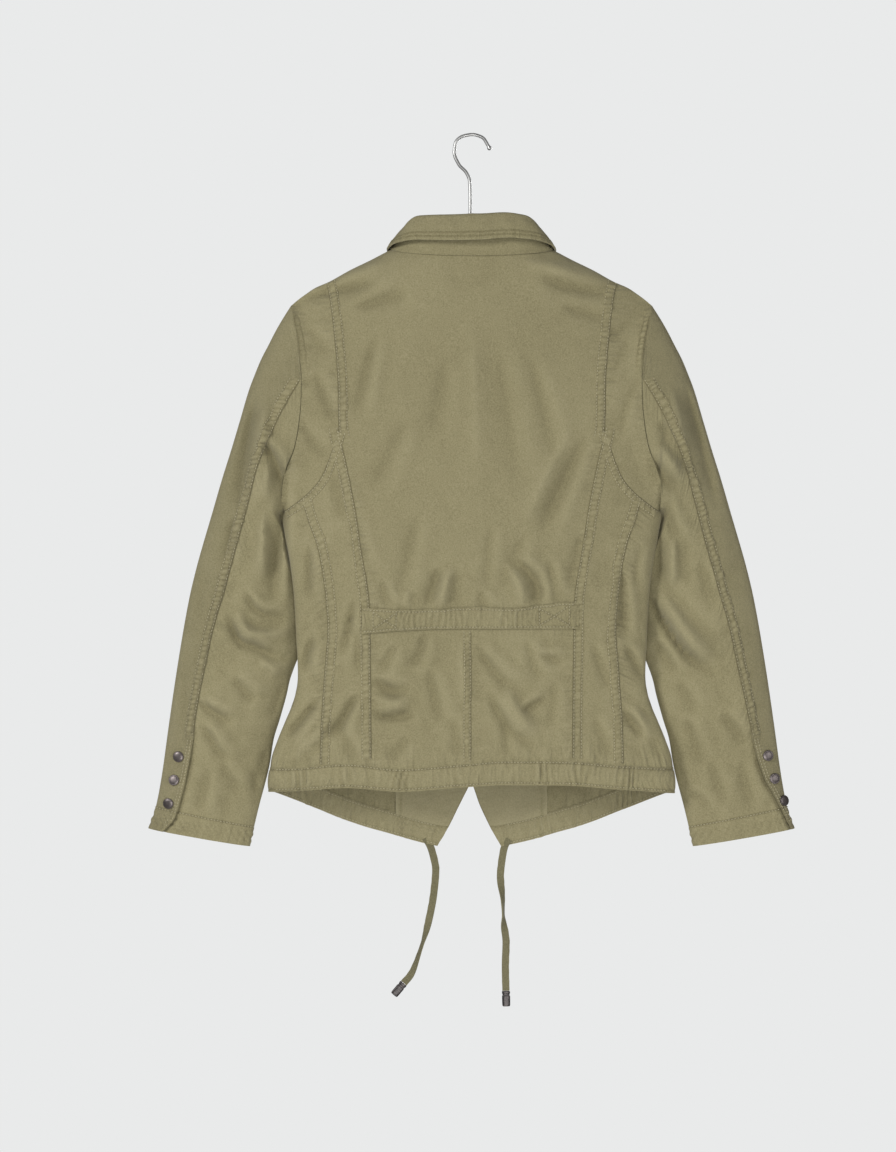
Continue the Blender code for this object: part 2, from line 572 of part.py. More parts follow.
def sleeves():
    rows = np.concatenate([[0, 0.012, 0.03, 0.06, 0.1], np.linspace(0.15, 0.775, 9), [VENT_TOP, 0.875, 0.94, 1]])
    front_angle = np.arccos(FRONT_SEAM)
    gap = SEAM / 2 / 50
    over = np.concatenate([np.linspace(-1, 0, 5), np.linspace(0, 1, 9)[1:]])
    under = np.concatenate([[0, 0.015, 0.05], np.linspace(0, 1, 7)[1:], [1.5, 2]])
    for name, hand in (("left", -1), ("right", 1)):
        # From the back seam over the outer edge to the front seam
        share, v = np.meshgrid(over, rows)
        angle = -share * np.where(share < 0, back_seam(v, name) - gap, front_angle - gap)
        wall("sleeve_upper_" + name, sleeve_point(angle, v, hand), sleeve_facing(angle, v, hand))
        # From the back seam round the inner edge; at the vent it passes under the upper sleeve
        share, v = np.meshgrid(under, rows)
        start = back_seam(v, name) + gap
        angle = np.where(share < 1, start + (pi - start) * share,
                         pi + (pi - front_angle - gap) * (share - 1))
        angle = angle - VENT_LAP * step(v, VENT_TOP, VENT_TOP + 0.05) * (share == 0)
        facing = sleeve_facing(angle, v, hand)
        tuck = (CLOTH + SEAM + 0.5) * step(v, VENT_TOP - 0.04, VENT_TOP) * (share < 0.03)
        wall("sleeve_under_" + name, sleeve_point(angle, v, hand) - facing * tuck[..., None], facing)


# Fasteners, cords and hanger

def disc(name, spot, axis, diameter, high, finish_name):
    # A snap cap with a rounded rim, standing on the cloth at spot
    shape = bmesh.new()
    bmesh.ops.create_cone(shape, cap_ends=True, segments=14, radius1=diameter / 2 * MM,
                          radius2=diameter / 2 * 0.72 * MM, depth=high * MM)
    mesh = bpy.data.meshes.new(name)
    shape.to_mesh(mesh)
    shape.free()
    mesh.shade_smooth()
    mesh.set_sharp_from_angle(angle=radians(35))
    piece = add_piece(name, mesh, finish_name)
    piece.rotation_euler = Vector(axis).to_track_quat("Z", "Y").to_euler()
    piece.location = (np.array(spot) + np.array(axis) * (high / 2 + SEAM)) * MM


def snaps():
    for name, hand in (("left", -1), ("right", 1)):
        for number, v in enumerate(CUFF_SNAP_V, 1):
            angle = back_seam(v, name) - 0.28
            near = np.array([[angle, v], [angle + 0.02, v], [angle, v + 0.01]])
            spot, across, down = sleeve_point(near[:, 0], near[:, 1], hand)
            axis = np.cross(across - spot, down - spot)
            axis /= np.linalg.norm(axis)
            if axis[1] > 0:
                axis = -axis
            disc(f"cuff_snap_{name}_{number}", spot + axis * 0.6, axis, SNAP, 2.6, "gunmetal")
    for number, z in enumerate(FRONT_SNAP_Z, 1):
        y = body_y(0.0, float(z), 1) + LAP_RISE
        disc(f"front_snap_{number}", (0, y + 0.3, z), (0, 1, 0), SNAP, 2.6, "gunmetal")


def aglet(name, end, before):
    # A flat metal tip that goes on in line with its cord
    axis = Vector(end - before).normalized()
    wide, deep, long = AGLET
    shape = bmesh.new()
    bmesh.ops.create_cube(shape, size=1)
    for corner in shape.verts:
        taper = 0.86 if corner.co.z > 0 else 1
        corner.co = (corner.co.x * wide * taper * MM, corner.co.y * deep * MM, corner.co.z * long * MM)
    bmesh.ops.bevel(shape, geom=shape.edges[:], offset=0.7 * MM, segments=1, affect="EDGES")
    mesh = bpy.data.meshes.new(name)
    shape.to_mesh(mesh)
    shape.free()
    piece = add_piece(name, mesh, "gunmetal")
    piece.rotation_euler = axis.to_track_quat("Z", "Y").to_euler()
    piece.location = (Vector(end) + axis * (long / 2 + SEAM)) * MM


def cords():
    for name, rows in CORDS.items():
        points = even_path(rows, 17)
        tube("drawcord_" + name, points, CORD, 2, "tape")
        aglet("aglet_" + name, points[-1], points[-2])


def hanger():
    flat = dict(HOOK, y=0 * HOOK["x"])
    points = even_path({key: flat[key] for key in "xyz"}, 26)
    points[:, 2] -= points[:, 2].max() - WIRE / 2
    points[0, 2] = BAR_ARCH["z"][0] + BAR / 2 + SEAM
    tube("hanger_hook", points, WIRE, 2, "steel")
    half = np.linspace(0, BAR_HALF, 11)
    drop = smooth(RIDGE_LINE, "x", "z", half) - CLOTH - BAR_CLEAR - BAR / 2
    z = np.where(half < NECK_HALF, smooth(BAR_ARCH, "x", "z", half), drop)
    side = [(x, 0, height) for x, height in zip(half, z)]
    other = [(-x, 0, height) for x, _, height in side[:0:-1]]
    tube("hanger_bar", other + side, BAR, 3, "bar")


def build():
    for old in list(bpy.data.objects):
        bpy.data.objects.remove(old, do_unlink=True)
    back_pieces()
    side_pieces()
    front_pieces()
    hem_pieces()
    belt()
    collar()
    sleeves()
    snaps()
    cords()
    hanger()


build()
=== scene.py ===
# A woman's washed twill jacket on a hanger, hung by its hook with its back to the viewer.
# Tables are in millimetres in the frame of the solids, and meshes are made in metres.
# Left is the wearer's left, at -X. The back faces -Y.

import math
import bpy
import numpy as np
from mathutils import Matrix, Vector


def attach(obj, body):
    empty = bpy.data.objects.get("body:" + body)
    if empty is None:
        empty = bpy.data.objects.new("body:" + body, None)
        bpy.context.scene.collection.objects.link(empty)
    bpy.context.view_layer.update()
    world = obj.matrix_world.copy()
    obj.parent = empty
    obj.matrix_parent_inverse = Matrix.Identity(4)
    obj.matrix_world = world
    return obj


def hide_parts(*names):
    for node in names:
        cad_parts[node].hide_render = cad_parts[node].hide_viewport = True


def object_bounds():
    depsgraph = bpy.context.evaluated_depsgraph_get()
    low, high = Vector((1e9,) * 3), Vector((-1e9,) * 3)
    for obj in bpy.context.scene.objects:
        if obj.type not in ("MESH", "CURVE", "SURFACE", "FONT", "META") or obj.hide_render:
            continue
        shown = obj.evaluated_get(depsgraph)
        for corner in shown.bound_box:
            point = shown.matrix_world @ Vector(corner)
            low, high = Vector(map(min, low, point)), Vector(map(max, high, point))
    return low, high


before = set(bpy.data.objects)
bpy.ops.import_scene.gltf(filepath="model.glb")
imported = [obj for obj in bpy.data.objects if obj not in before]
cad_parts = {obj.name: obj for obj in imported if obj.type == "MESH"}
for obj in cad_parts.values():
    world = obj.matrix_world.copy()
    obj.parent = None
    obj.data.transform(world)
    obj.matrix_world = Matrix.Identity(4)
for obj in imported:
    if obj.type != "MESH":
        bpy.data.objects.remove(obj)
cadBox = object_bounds()
mm = 0.001
hands = (("left", -1), ("right", 1))


# Camera, light and floor

stageSettings = {
    "cameraPlace": (-0.0259, -3.0, -0.4838), "frameHeight": 1.2672, "sensor": 36.0,
    "backdrop": (0.815, 0.823, 0.823), "ambient": 0.24,
    "floorDrop": -1.6, "floorRadius": 1.5,
}
lamps = {
    # name: place, aim, size, watts
    "keyLight": ((-1.9, -2.0, 0.55), (0, 0, -0.45), 0.8, 51),
    "fillLight": ((1.9, -2.3, -0.3), (0, 0, -0.5), 1.4, 21),
    "lowLight": ((0.1, -2.4, -1.35), (0, 0, -0.85), 0.9, 26),
    "frontLight": ((0.9, 2.4, -0.1), (0, 0, -0.5), 1.4, 46),
}


def deselectAll():
    if bpy.context.object and bpy.context.object.mode != "OBJECT":
        bpy.ops.object.mode_set(mode="OBJECT")
    bpy.ops.object.select_all(action="DESELECT")


def setTheStage():
    bpy.context.scene.view_settings.view_transform = "Standard"
    place = stageSettings["cameraPlace"]
    bpy.ops.object.camera_add(location=place, rotation=(math.pi / 2, 0, 0))
    camera = bpy.context.object
    camera.data.sensor_width = stageSettings["sensor"]
    camera.data.lens = stageSettings["sensor"] * -place[1] / stageSettings["frameHeight"]
    bpy.context.scene.camera = camera
    for name, (place, aim, size, watts) in lamps.items():
        bpy.ops.object.light_add(type="AREA", radius=size, location=place)
        lamp = bpy.context.object
        lamp.name = name
        lamp.data.shape = "DISK"
        lamp.data.size = size
        lamp.data.energy = watts
        away = np.array(place) - np.array(aim)
        flat = math.hypot(away[0], away[1])
        lamp.rotation_euler = (math.atan2(flat, away[2]), 0, math.atan2(away[0], -away[1]))
    world = bpy.data.worlds.new("studio")
    world.use_nodes = True
    bpy.context.scene.world = world
    nodes, links = world.node_tree.nodes, world.node_tree.links
    nodes.clear()
    seen = nodes.new("ShaderNodeBackground")
    seen.inputs["Color"].default_value = (*stageSettings["backdrop"], 1)
    around = nodes.new("ShaderNodeBackground")
    around.inputs["Color"].default_value = (1, 1, 1, 1)
    around.inputs["Strength"].default_value = stageSettings["ambient"]
    path = nodes.new("ShaderNodeLightPath")
    either = nodes.new("ShaderNodeMixShader")
    out = nodes.new("ShaderNodeOutputWorld")
    links.new(path.outputs["Is Camera Ray"], either.inputs[0])
    links.new(around.outputs[0], either.inputs[1])
    links.new(seen.outputs[0], either.inputs[2])
    links.new(either.outputs[0], out.inputs["Surface"])
    radius = stageSettings["floorRadius"]
    bpy.ops.mesh.primitive_circle_add(vertices=96, radius=radius, fill_type="NGON",
                                      location=(0, 0, stageSettings["floorDrop"]))
    floor = bpy.context.object
    floor.name = "floor"
    paint = bpy.data.materials.new("paleFloor")
    paint.use_nodes = True
    nodes, links = paint.node_tree.nodes, paint.node_tree.links
    shader = nodes["Principled BSDF"]
    shader.inputs["Base Color"].default_value = (0.8, 0.8, 0.8, 1)
    shader.inputs["Roughness"].default_value = 0.8
    spot = nodes.new("ShaderNodeTexCoord")
    far = nodes.new("ShaderNodeVectorMath")
    far.operation = "LENGTH"
    fade = nodes.new("ShaderNodeMapRange")
    fade.inputs["From Min"].default_value = radius
    fade.inputs["From Max"].default_value = radius * 0.6
    links.new(spot.outputs["Object"], far.inputs[0])
    links.new(far.outputs["Value"], fade.inputs["Value"])
    links.new(fade.outputs["Result"], shader.inputs["Alpha"])
    floor.data.materials.append(paint)


setTheStage()
print("stage: camera, lights and floor")


# Materials

clothLook = {
    "colour": (0.249, 0.221, 0.120), "pale": (0.330, 0.296, 0.176), "deep": (0.155, 0.135, 0.069),
    "ribsPerMetre": 1150, "weaveDepth": 0.00014, "creaseDepth": 0.0042, "sheen": 0.10,
}
metalLook = {"gunmetal": (0.125, 0.108, 0.104), "pale": (0.27, 0.24, 0.235), "tip": (0.05, 0.046, 0.045),
             "steel": (0.46, 0.46, 0.45)}


def newGroup(name, takes, gives):
    # An empty shader group with number, colour and vector sockets
    group = bpy.data.node_groups.new(name, "ShaderNodeTree")
    kinds = {"number": "NodeSocketFloat", "colour": "NodeSocketColor", "vector": "NodeSocketVector"}
    for label, kind, *value in takes:
        socket = group.interface.new_socket(label, in_out="INPUT", socket_type=kinds[kind])
        if value:
            socket.default_value = value[0]
    for label, kind in gives:
        group.interface.new_socket(label, in_out="OUTPUT", socket_type=kinds[kind])
    return group, group.nodes.new("NodeGroupInput"), group.nodes.new("NodeGroupOutput")


def mathNode(group, operation, first, second=None):
    # A math node whose two inputs are sockets or plain numbers
    node = group.nodes.new("ShaderNodeMath")
    node.operation = operation
    for socket, value in zip(node.inputs, (first, second)):
        if isinstance(value, (int, float)):
            socket.default_value = value
        elif value is not None:
            group.links.new(value, socket)
    return node.outputs[0]


def noiseNode(group, vector, scale, detail=3.0, stretch=(1, 1, 1)):
    # Noise that is centred on 0
    mapping = group.nodes.new("ShaderNodeMapping")
    mapping.inputs["Scale"].default_value = stretch
    noise = group.nodes.new("ShaderNodeTexNoise")
    noise.inputs["Scale"].default_value = scale
    noise.inputs["Detail"].default_value = detail
    group.links.new(vector, mapping.inputs["Vector"])
    group.links.new(mapping.outputs[0], noise.inputs["Vector"])
    return mathNode(group, "SUBTRACT", noise.outputs["Fac"], 0.5)


def twillWeave():
    # Diagonal ribs of yarn over a map in metres, with slubs
    group, take, give = newGroup("twillWeave", [("Map", "vector"), ("Ribs", "number", 1150.0)],
                                 [("Height", "number"), ("Shade", "number")])
    parts = group.nodes.new("ShaderNodeSeparateXYZ")
    group.links.new(take.outputs["Map"], parts.inputs[0])
    wobble = noiseNode(group, take.outputs["Map"], 90.0, 2.0)
    slant = mathNode(group, "ADD", parts.outputs["X"], mathNode(group, "MULTIPLY", parts.outputs["Y"], 0.62))
    turns = mathNode(group, "MULTIPLY", slant, take.outputs["Ribs"])
    turns = mathNode(group, "ADD", turns, mathNode(group, "MULTIPLY", wobble, 1.4))
    rib = mathNode(group, "SINE", mathNode(group, "MULTIPLY", turns, 2 * math.pi))
    picks = mathNode(group, "MULTIPLY", parts.outputs["Y"], take.outputs["Ribs"])
    pick = mathNode(group, "SINE", mathNode(group, "MULTIPLY", picks, 2 * math.pi))
    slub = noiseNode(group, take.outputs["Map"], 900.0, 2.0, (1, 0.25, 1))
    height = mathNode(group, "ADD", mathNode(group, "MULTIPLY", rib, 0.5), mathNode(group, "MULTIPLY", pick, 0.2))
    height = mathNode(group, "ADD", height, slub)
    group.links.new(height, give.inputs["Height"])
    group.links.new(mathNode(group, "ADD", slub, mathNode(group, "MULTIPLY", rib, 0.12)), give.inputs["Shade"])
    return group


def washedCloth():
    # Small wrinkles, strongest beside seams, and the uneven shade of garment washing, with painted shade and highlight
    # that follow the wrinkles' heights
    group, take, give = newGroup(
        "washedCloth",
        [("Map", "vector"), ("Place", "vector"), ("Pucker", "number", 0.0), ("Gather", "number", 0.0)],
        [("Height", "number"), ("Shade", "number")])
    puckers = noiseNode(group, take.outputs["Map"], 165.0, 1.0, (0.22, 1, 1))
    puckers = mathNode(group, "MULTIPLY", puckers, take.outputs["Pucker"])
    gathers = noiseNode(group, take.outputs["Map"], 165.0, 1.0, (1, 0.22, 1))
    gathers = mathNode(group, "MULTIPLY", gathers, take.outputs["Gather"])
    both = mathNode(group, "ADD", puckers, gathers)
    fine = noiseNode(group, take.outputs["Place"], 70.0, 3.0)
    height = mathNode(group, "ADD", both, mathNode(group, "MULTIPLY", fine, 0.28))
    clouds = noiseNode(group, take.outputs["Place"], 9.0, 3.0)
    speckle = noiseNode(group, take.outputs["Place"], 760.0, 1.0)
    shade = mathNode(group, "ADD", mathNode(group, "MULTIPLY", clouds, 0.45), mathNode(group, "MULTIPLY", speckle, 2.4))
    # Painted shade and highlight: the puckers' and gathers' heights also darken and lighten the colour
    shade = mathNode(group, "ADD", shade, mathNode(group, "MULTIPLY", both, 1.1))
    group.links.new(height, give.inputs["Height"])
    group.links.new(shade, give.inputs["Shade"])
    return group


def newMaterial(name, rough, metal=0.0):
    material = bpy.data.materials.new(name)
    material.use_nodes = True
    shader = material.node_tree.nodes["Principled BSDF"]
    shader.inputs["Roughness"].default_value = rough
    shader.inputs["Metallic"].default_value = metal
    return material, material.node_tree, shader


def readAttribute(tree, name):
    node = tree.nodes.new("ShaderNodeAttribute")
    node.attribute_name = name
    return node.outputs["Fac"]


def useGroup(tree, group, **sockets):
    node = tree.nodes.new("ShaderNodeGroup")
    node.node_tree = group
    for name, value in sockets.items():
        if isinstance(value, (int, float)):
            node.inputs[name].default_value = value
        else:
            tree.links.new(value, node.inputs[name])
    return node


def mixColour(tree, share, first, second):
    node = tree.nodes.new("ShaderNodeMix")
    node.data_type = "RGBA"
    for socket, value in ((node.inputs["Factor"], share), (node.inputs[6], first), (node.inputs[7], second)):
        if isinstance(value, tuple):
            socket.default_value = (*value, 1)
        else:
            tree.links.new(value, socket)
    return node.outputs[2]


def bumpChain(tree, shader, layers):
    # Several bumps, each with its depth in metres, into the shader's normal
    normal = None
    for height, depth in layers:
        bump = tree.nodes.new("ShaderNodeBump")
        bump.inputs["Distance"].default_value = depth
        tree.links.new(height, bump.inputs["Height"])
        if normal is not None:
            tree.links.new(normal, bump.inputs["Normal"])
        normal = bump.outputs["Normal"]
    tree.links.new(normal, shader.inputs["Normal"])


weave = twillWeave()
wash = washedCloth()


def clothMaterial(name, colour, pale, deep, rough=0.86):
    material, tree, shader = newMaterial(name, rough)
    spot = tree.nodes.new("ShaderNodeTexCoord")
    woven = useGroup(tree, weave, Map=spot.outputs["UV"], Ribs=float(clothLook["ribsPerMetre"]))
    washed = useGroup(tree, wash, Map=spot.outputs["UV"], Place=spot.outputs["Object"],
                      Pucker=readAttribute(tree, "pucker"), Gather=readAttribute(tree, "gather"))
    shade = mathNode(tree, "ADD", mathNode(tree, "MULTIPLY", woven.outputs["Shade"], 0.60),
                     mathNode(tree, "MULTIPLY", washed.outputs["Shade"], 0.85))
    # This attribute holds real wear and washing together with painted shade and painted highlight of folds, seams,
    # grooves and edges; it pushes the colour towards pale or deep
    shade = mathNode(tree, "ADD", shade, readAttribute(tree, "wear_and_shade"))
    lighter = mathNode(tree, "MAXIMUM", mathNode(tree, "MULTIPLY", shade, 0.9), 0.0)
    darker = mathNode(tree, "MAXIMUM", mathNode(tree, "MULTIPLY", shade, -0.9), 0.0)
    mixed = mixColour(tree, lighter, colour, pale)
    mixed = mixColour(tree, darker, mixed, deep)
    tree.links.new(mixed, shader.inputs["Base Color"])
    shader.inputs["Sheen Weight"].default_value = clothLook["sheen"]
    shader.inputs["Sheen Roughness"].default_value = 0.5
    shader.inputs["Specular IOR Level"].default_value = 0.25
    bumpChain(tree, shader, [(woven.outputs["Height"], clothLook["weaveDepth"]),
                             (washed.outputs["Height"], clothLook["creaseDepth"])])
    return material


def metalMaterial(name, colour, pale, rough, brushed=False):
    # Plating with fine scratches and paler, worn high spots
    material, tree, shader = newMaterial(name, rough, 1.0)
    spot = tree.nodes.new("ShaderNodeTexCoord")
    stretch = (0.15, 0.15, 1) if brushed else (1, 1, 1)
    grain = noiseNode(tree, spot.outputs["Object"], 1400.0 if brushed else 700.0, 3.0, stretch)
    worn = noiseNode(tree, spot.outputs["Object"], 190.0, 3.0)
    share = mathNode(tree, "MAXIMUM", mathNode(tree, "MULTIPLY", worn, 1.6), 0.0)
    tree.links.new(mixColour(tree, share, colour, pale), shader.inputs["Base Color"])
    uneven = mathNode(tree, "ADD", mathNode(tree, "MULTIPLY", grain, 0.25), rough)
    tree.links.new(uneven, shader.inputs["Roughness"])
    bumpChain(tree, shader, [(grain, 0.00003)])
    return material


def threadMaterial():
    material, tree, shader = newMaterial("thread", 0.7)
    spot = tree.nodes.new("ShaderNodeTexCoord")
    fuzz = noiseNode(tree, spot.outputs["Object"], 500.0, 2.0)
    share = mathNode(tree, "ADD", fuzz, 0.5)
    tree.links.new(mixColour(tree, share, (0.31, 0.28, 0.17), (0.45, 0.41, 0.275)), shader.inputs["Base Color"])
    bumpChain(tree, shader, [(fuzz, 0.0001)])
    return material


def barMaterial():
    material, tree, shader = newMaterial("bar", 0.5)
    spot = tree.nodes.new("ShaderNodeTexCoord")
    specks = noiseNode(tree, spot.outputs["Object"], 300.0, 3.0)
    share = mathNode(tree, "ADD", specks, 0.5)
    tree.links.new(mixColour(tree, share, (0.5, 0.48, 0.45), (0.6, 0.58, 0.55)), shader.inputs["Base Color"])
    bumpChain(tree, shader, [(specks, 0.00008)])
    return material


twill = clothMaterial("twill", clothLook["colour"], clothLook["pale"], clothLook["deep"])
tape = clothMaterial("tape", (0.165, 0.15, 0.083), (0.23, 0.21, 0.12), (0.10, 0.09, 0.05), 0.9)
gunmetal = metalMaterial("gunmetal", metalLook["gunmetal"], metalLook["pale"], 0.42)
tipMetal = metalMaterial("tipMetal", metalLook["tip"], metalLook["gunmetal"], 0.4)
steel = metalMaterial("steel", metalLook["steel"], (0.56, 0.56, 0.55), 0.42, True)
thread = threadMaterial()
print("materials: twill, tape, thread, gunmetal, steel")


# Curves, noise and creases

def table(columns, *rows):
    return dict(zip(columns.split(), np.array(rows, float).T))


def smooth(rows, key, value, at):
    # A cubic through the rows of a table that never overshoots them, level past its ends
    order = np.argsort(rows[key])
    keys, values = rows[key][order], rows[value][order]
    pitch = np.diff(values) / np.diff(keys)
    before, after = pitch[:-1], pitch[1:]
    agree = before * after > 0
    inner = np.where(agree, 2 * before * after / np.where(agree, before + after, 1), 0)
    slopes = np.concatenate([pitch[:1], inner, pitch[-1:]])
    at = np.clip(at, keys[0], keys[-1])
    i = np.clip(np.searchsorted(keys, at, "right") - 1, 0, len(keys) - 2)
    span = keys[i + 1] - keys[i]
    t = (at - keys[i]) / span
    return ((1 + 2 * t) * (1 - t) ** 2 * values[i] + t * (1 - t) ** 2 * span * slopes[i]
            + t ** 2 * (3 - 2 * t) * values[i + 1] + t ** 2 * (t - 1) * span * slopes[i + 1])


def ease(value, low, high):
    t = np.clip((value - low) / (high - low), 0, 1)
    return t * t * (3 - 2 * t)


def even(count):
    return np.linspace(0, 1, count)


def unevenness(a, b, size, seed):
    # Soft random heights from -1 to 1 on a turned lattice
    heights = np.random.RandomState(seed).uniform(-1, 1, (97, 89))
    turn = 0.5 + 1.3 * seed
    u = (a * math.cos(turn) + b * math.sin(turn)) / size
    v = (b * math.cos(turn) - a * math.sin(turn)) / size
    i, j = np.floor(u).astype(int), np.floor(v).astype(int)
    s, t = u - i, v - j
    s, t = s ** 3 * (s * (6 * s - 15) + 10), t ** 3 * (t * (6 * t - 15) + 10)
    low = heights[i % 97, j % 89] * (1 - s) + heights[(i + 1) % 97, j % 89] * s
    high = heights[i % 97, (j + 1) % 89] * (1 - s) + heights[(i + 1) % 97, (j + 1) % 89] * s
    return low * (1 - t) + high * t


def rounded(spots):
    # A line with its corners cut once
    inner = np.stack([0.75 * spots[:-1] + 0.25 * spots[1:], 0.25 * spots[:-1] + 0.75 * spots[1:]], axis=1)
    return np.concatenate([spots[:1], inner.reshape(-1, 2), spots[-1:]])


def creased(creases, x, z):
    # Height of the cloth over creases: rise, half width, then the points of the line
    x, z = np.broadcast_arrays(np.asarray(x, float), np.asarray(z, float))
    total = np.zeros(x.shape)
    for rise, wide, *line in creases:
        spots = rounded(np.reshape(line, (-1, 2)).astype(float))
        spots[0] += (spots[0] - spots[1]) * 0.5
        spots[-1] += (spots[-1] - spots[-2]) * 0.5
        low, high = spots.min(axis=0) - 3 * wide, spots.max(axis=0) + 3 * wide
        near = (x > low[0]) & (x < high[0]) & (z > low[1]) & (z < high[1])
        if near.any():
            total[near] += rise * foldProfile(spots, wide, x[near], z[near])
    return total


def foldProfile(spots, wide, x, z):
    # It tapers to both ends, widens towards its foot, and has a crest along one side
    lengths = np.hypot(*np.diff(spots, axis=0).T)
    starts = np.concatenate([[0], np.cumsum(lengths)]) / lengths.sum()
    nearest, far, share = (np.full(x.shape, value) for value in (1e9, 0.0, 0.0))
    for (x1, z1), (x2, z2), start, end in zip(spots[:-1], spots[1:], starts, starts[1:]):
        runX, runZ = x2 - x1, z2 - z1
        t = np.clip(((x - x1) * runX + (z - z1) * runZ) / (runX ** 2 + runZ ** 2), 0, 1)
        awayX, awayZ = x - x1 - t * runX, z - z1 - t * runZ
        gap = awayX ** 2 + awayZ ** 2
        closer = gap < nearest
        nearest = np.where(closer, gap, nearest)
        side = np.sign(runX * awayZ - runZ * awayX)
        far = np.where(closer, side * np.sqrt(gap), far)
        share = np.where(closer, start + t * (end - start), share)
    taper = ease(share, 0, 0.3) * (1 - ease(share, 0.65, 1))
    broad = wide * (0.5 + 0.45 * share)
    return taper * (np.exp(-np.abs(far / broad) ** 1.5) - 0.5 * np.exp(-(far / broad / 1.2 - 1.5) ** 2))


# The body's shape: the same lines as the solids have

bodyShape = {
    "cloth": 1.3, "double": 2.1, "ridge": 40.0, "neckHalf": 88.0, "neckBack": -134.0, "neckSide": -124.6,
    "neckFront": -206.0, "waist": -531.0, "armTop": -186.2, "armLow": -413.0, "armBack": 26.0,
    "armFront": 30.0, "lap": 14.0, "lapRise": 3.6, "hemDeep": 25.0, "sideLean": -6.0, "pitch": 3.0,
}
shoulderLine = table("x z", (0, -86), (45, -105), (88, -124.6), (112, -137), (133, -147.2), (157, -160.4),
                     (172, -167), (182, -173.6), (191, -180.2), (198, -186.2))
edgeLine = table("z x", (-186, 198), (-204, 194.7), (-226, 190), (-248, 187.5), (-269, 185.6), (-293, 186),
                 (-323, 189), (-345, 193.5), (-364, 201), (-384, 207), (-413, 209), (-436, 205.7), (-466, 200),
                 (-508, 195), (-554, 192.5), (-596, 190.5), (-620, 195), (-642, 204), (-664, 213),
                 (-686, 220), (-714, 222.5), (-730, 223))
depthTable = table("z back front", (-120, 26, 24), (-200, 30, 31), (-300, 33, 37), (-400, 36, 38),
                   (-500, 33, 34), (-596, 29, 30), (-660, 31, 32), (-785, 33, 33))
princessLine = table("z x", (-161, 160), (-180, 155.7), (-224, 150.2), (-272, 146.3), (-320, 145.2),
                     (-356, 137.5), (-384, 131.7), (-412, 126.2), (-451, 120.7), (-517, 111), (-583, 110),
                     (-690, 109))
sideBackLine = table("z x", (-398, 186), (-422, 179.3), (-450, 169.4), (-477, 163.9), (-510, 159.5),
                     (-543, 157.6), (-576, 160), (-642, 164.5), (-690, 166))
yokeLine = table("x z", (145.2, -323), (150.7, -341), (156.8, -359), (165.6, -378), (177.7, -392),
                 (191, -403), (207, -412.6), (210, -413))
hemBackLine = table("x top low", (-223, -694, -720.5), (-190, -693, -718.6), (-136, -688, -714.8),
                    (-81, -693.4, -718.6), (-13, -688.5, -714), (36, -684.5, -711.5), (100, -685, -712),
                    (157, -690, -716.5), (223, -694, -722))
hemFrontLine = table("x z", (30, -785.5), (45, -782.5), (66, -777.3), (94, -769), (115, -763), (141, -754),
                     (165, -744), (198, -730), (223, -719.2))
frontEdge = table("z left right", (-200, 14, -14), (-685, 14, -14), (-698, 9, -8), (-712.6, 0, 0),
                  (-740, -14, 10), (-764, -26, 21.5), (-786, -39, 34))

# How much of each crease's rise shows
foldLook = {"behind": 2.3, "before": 1.4, "sleeve": 0.88}

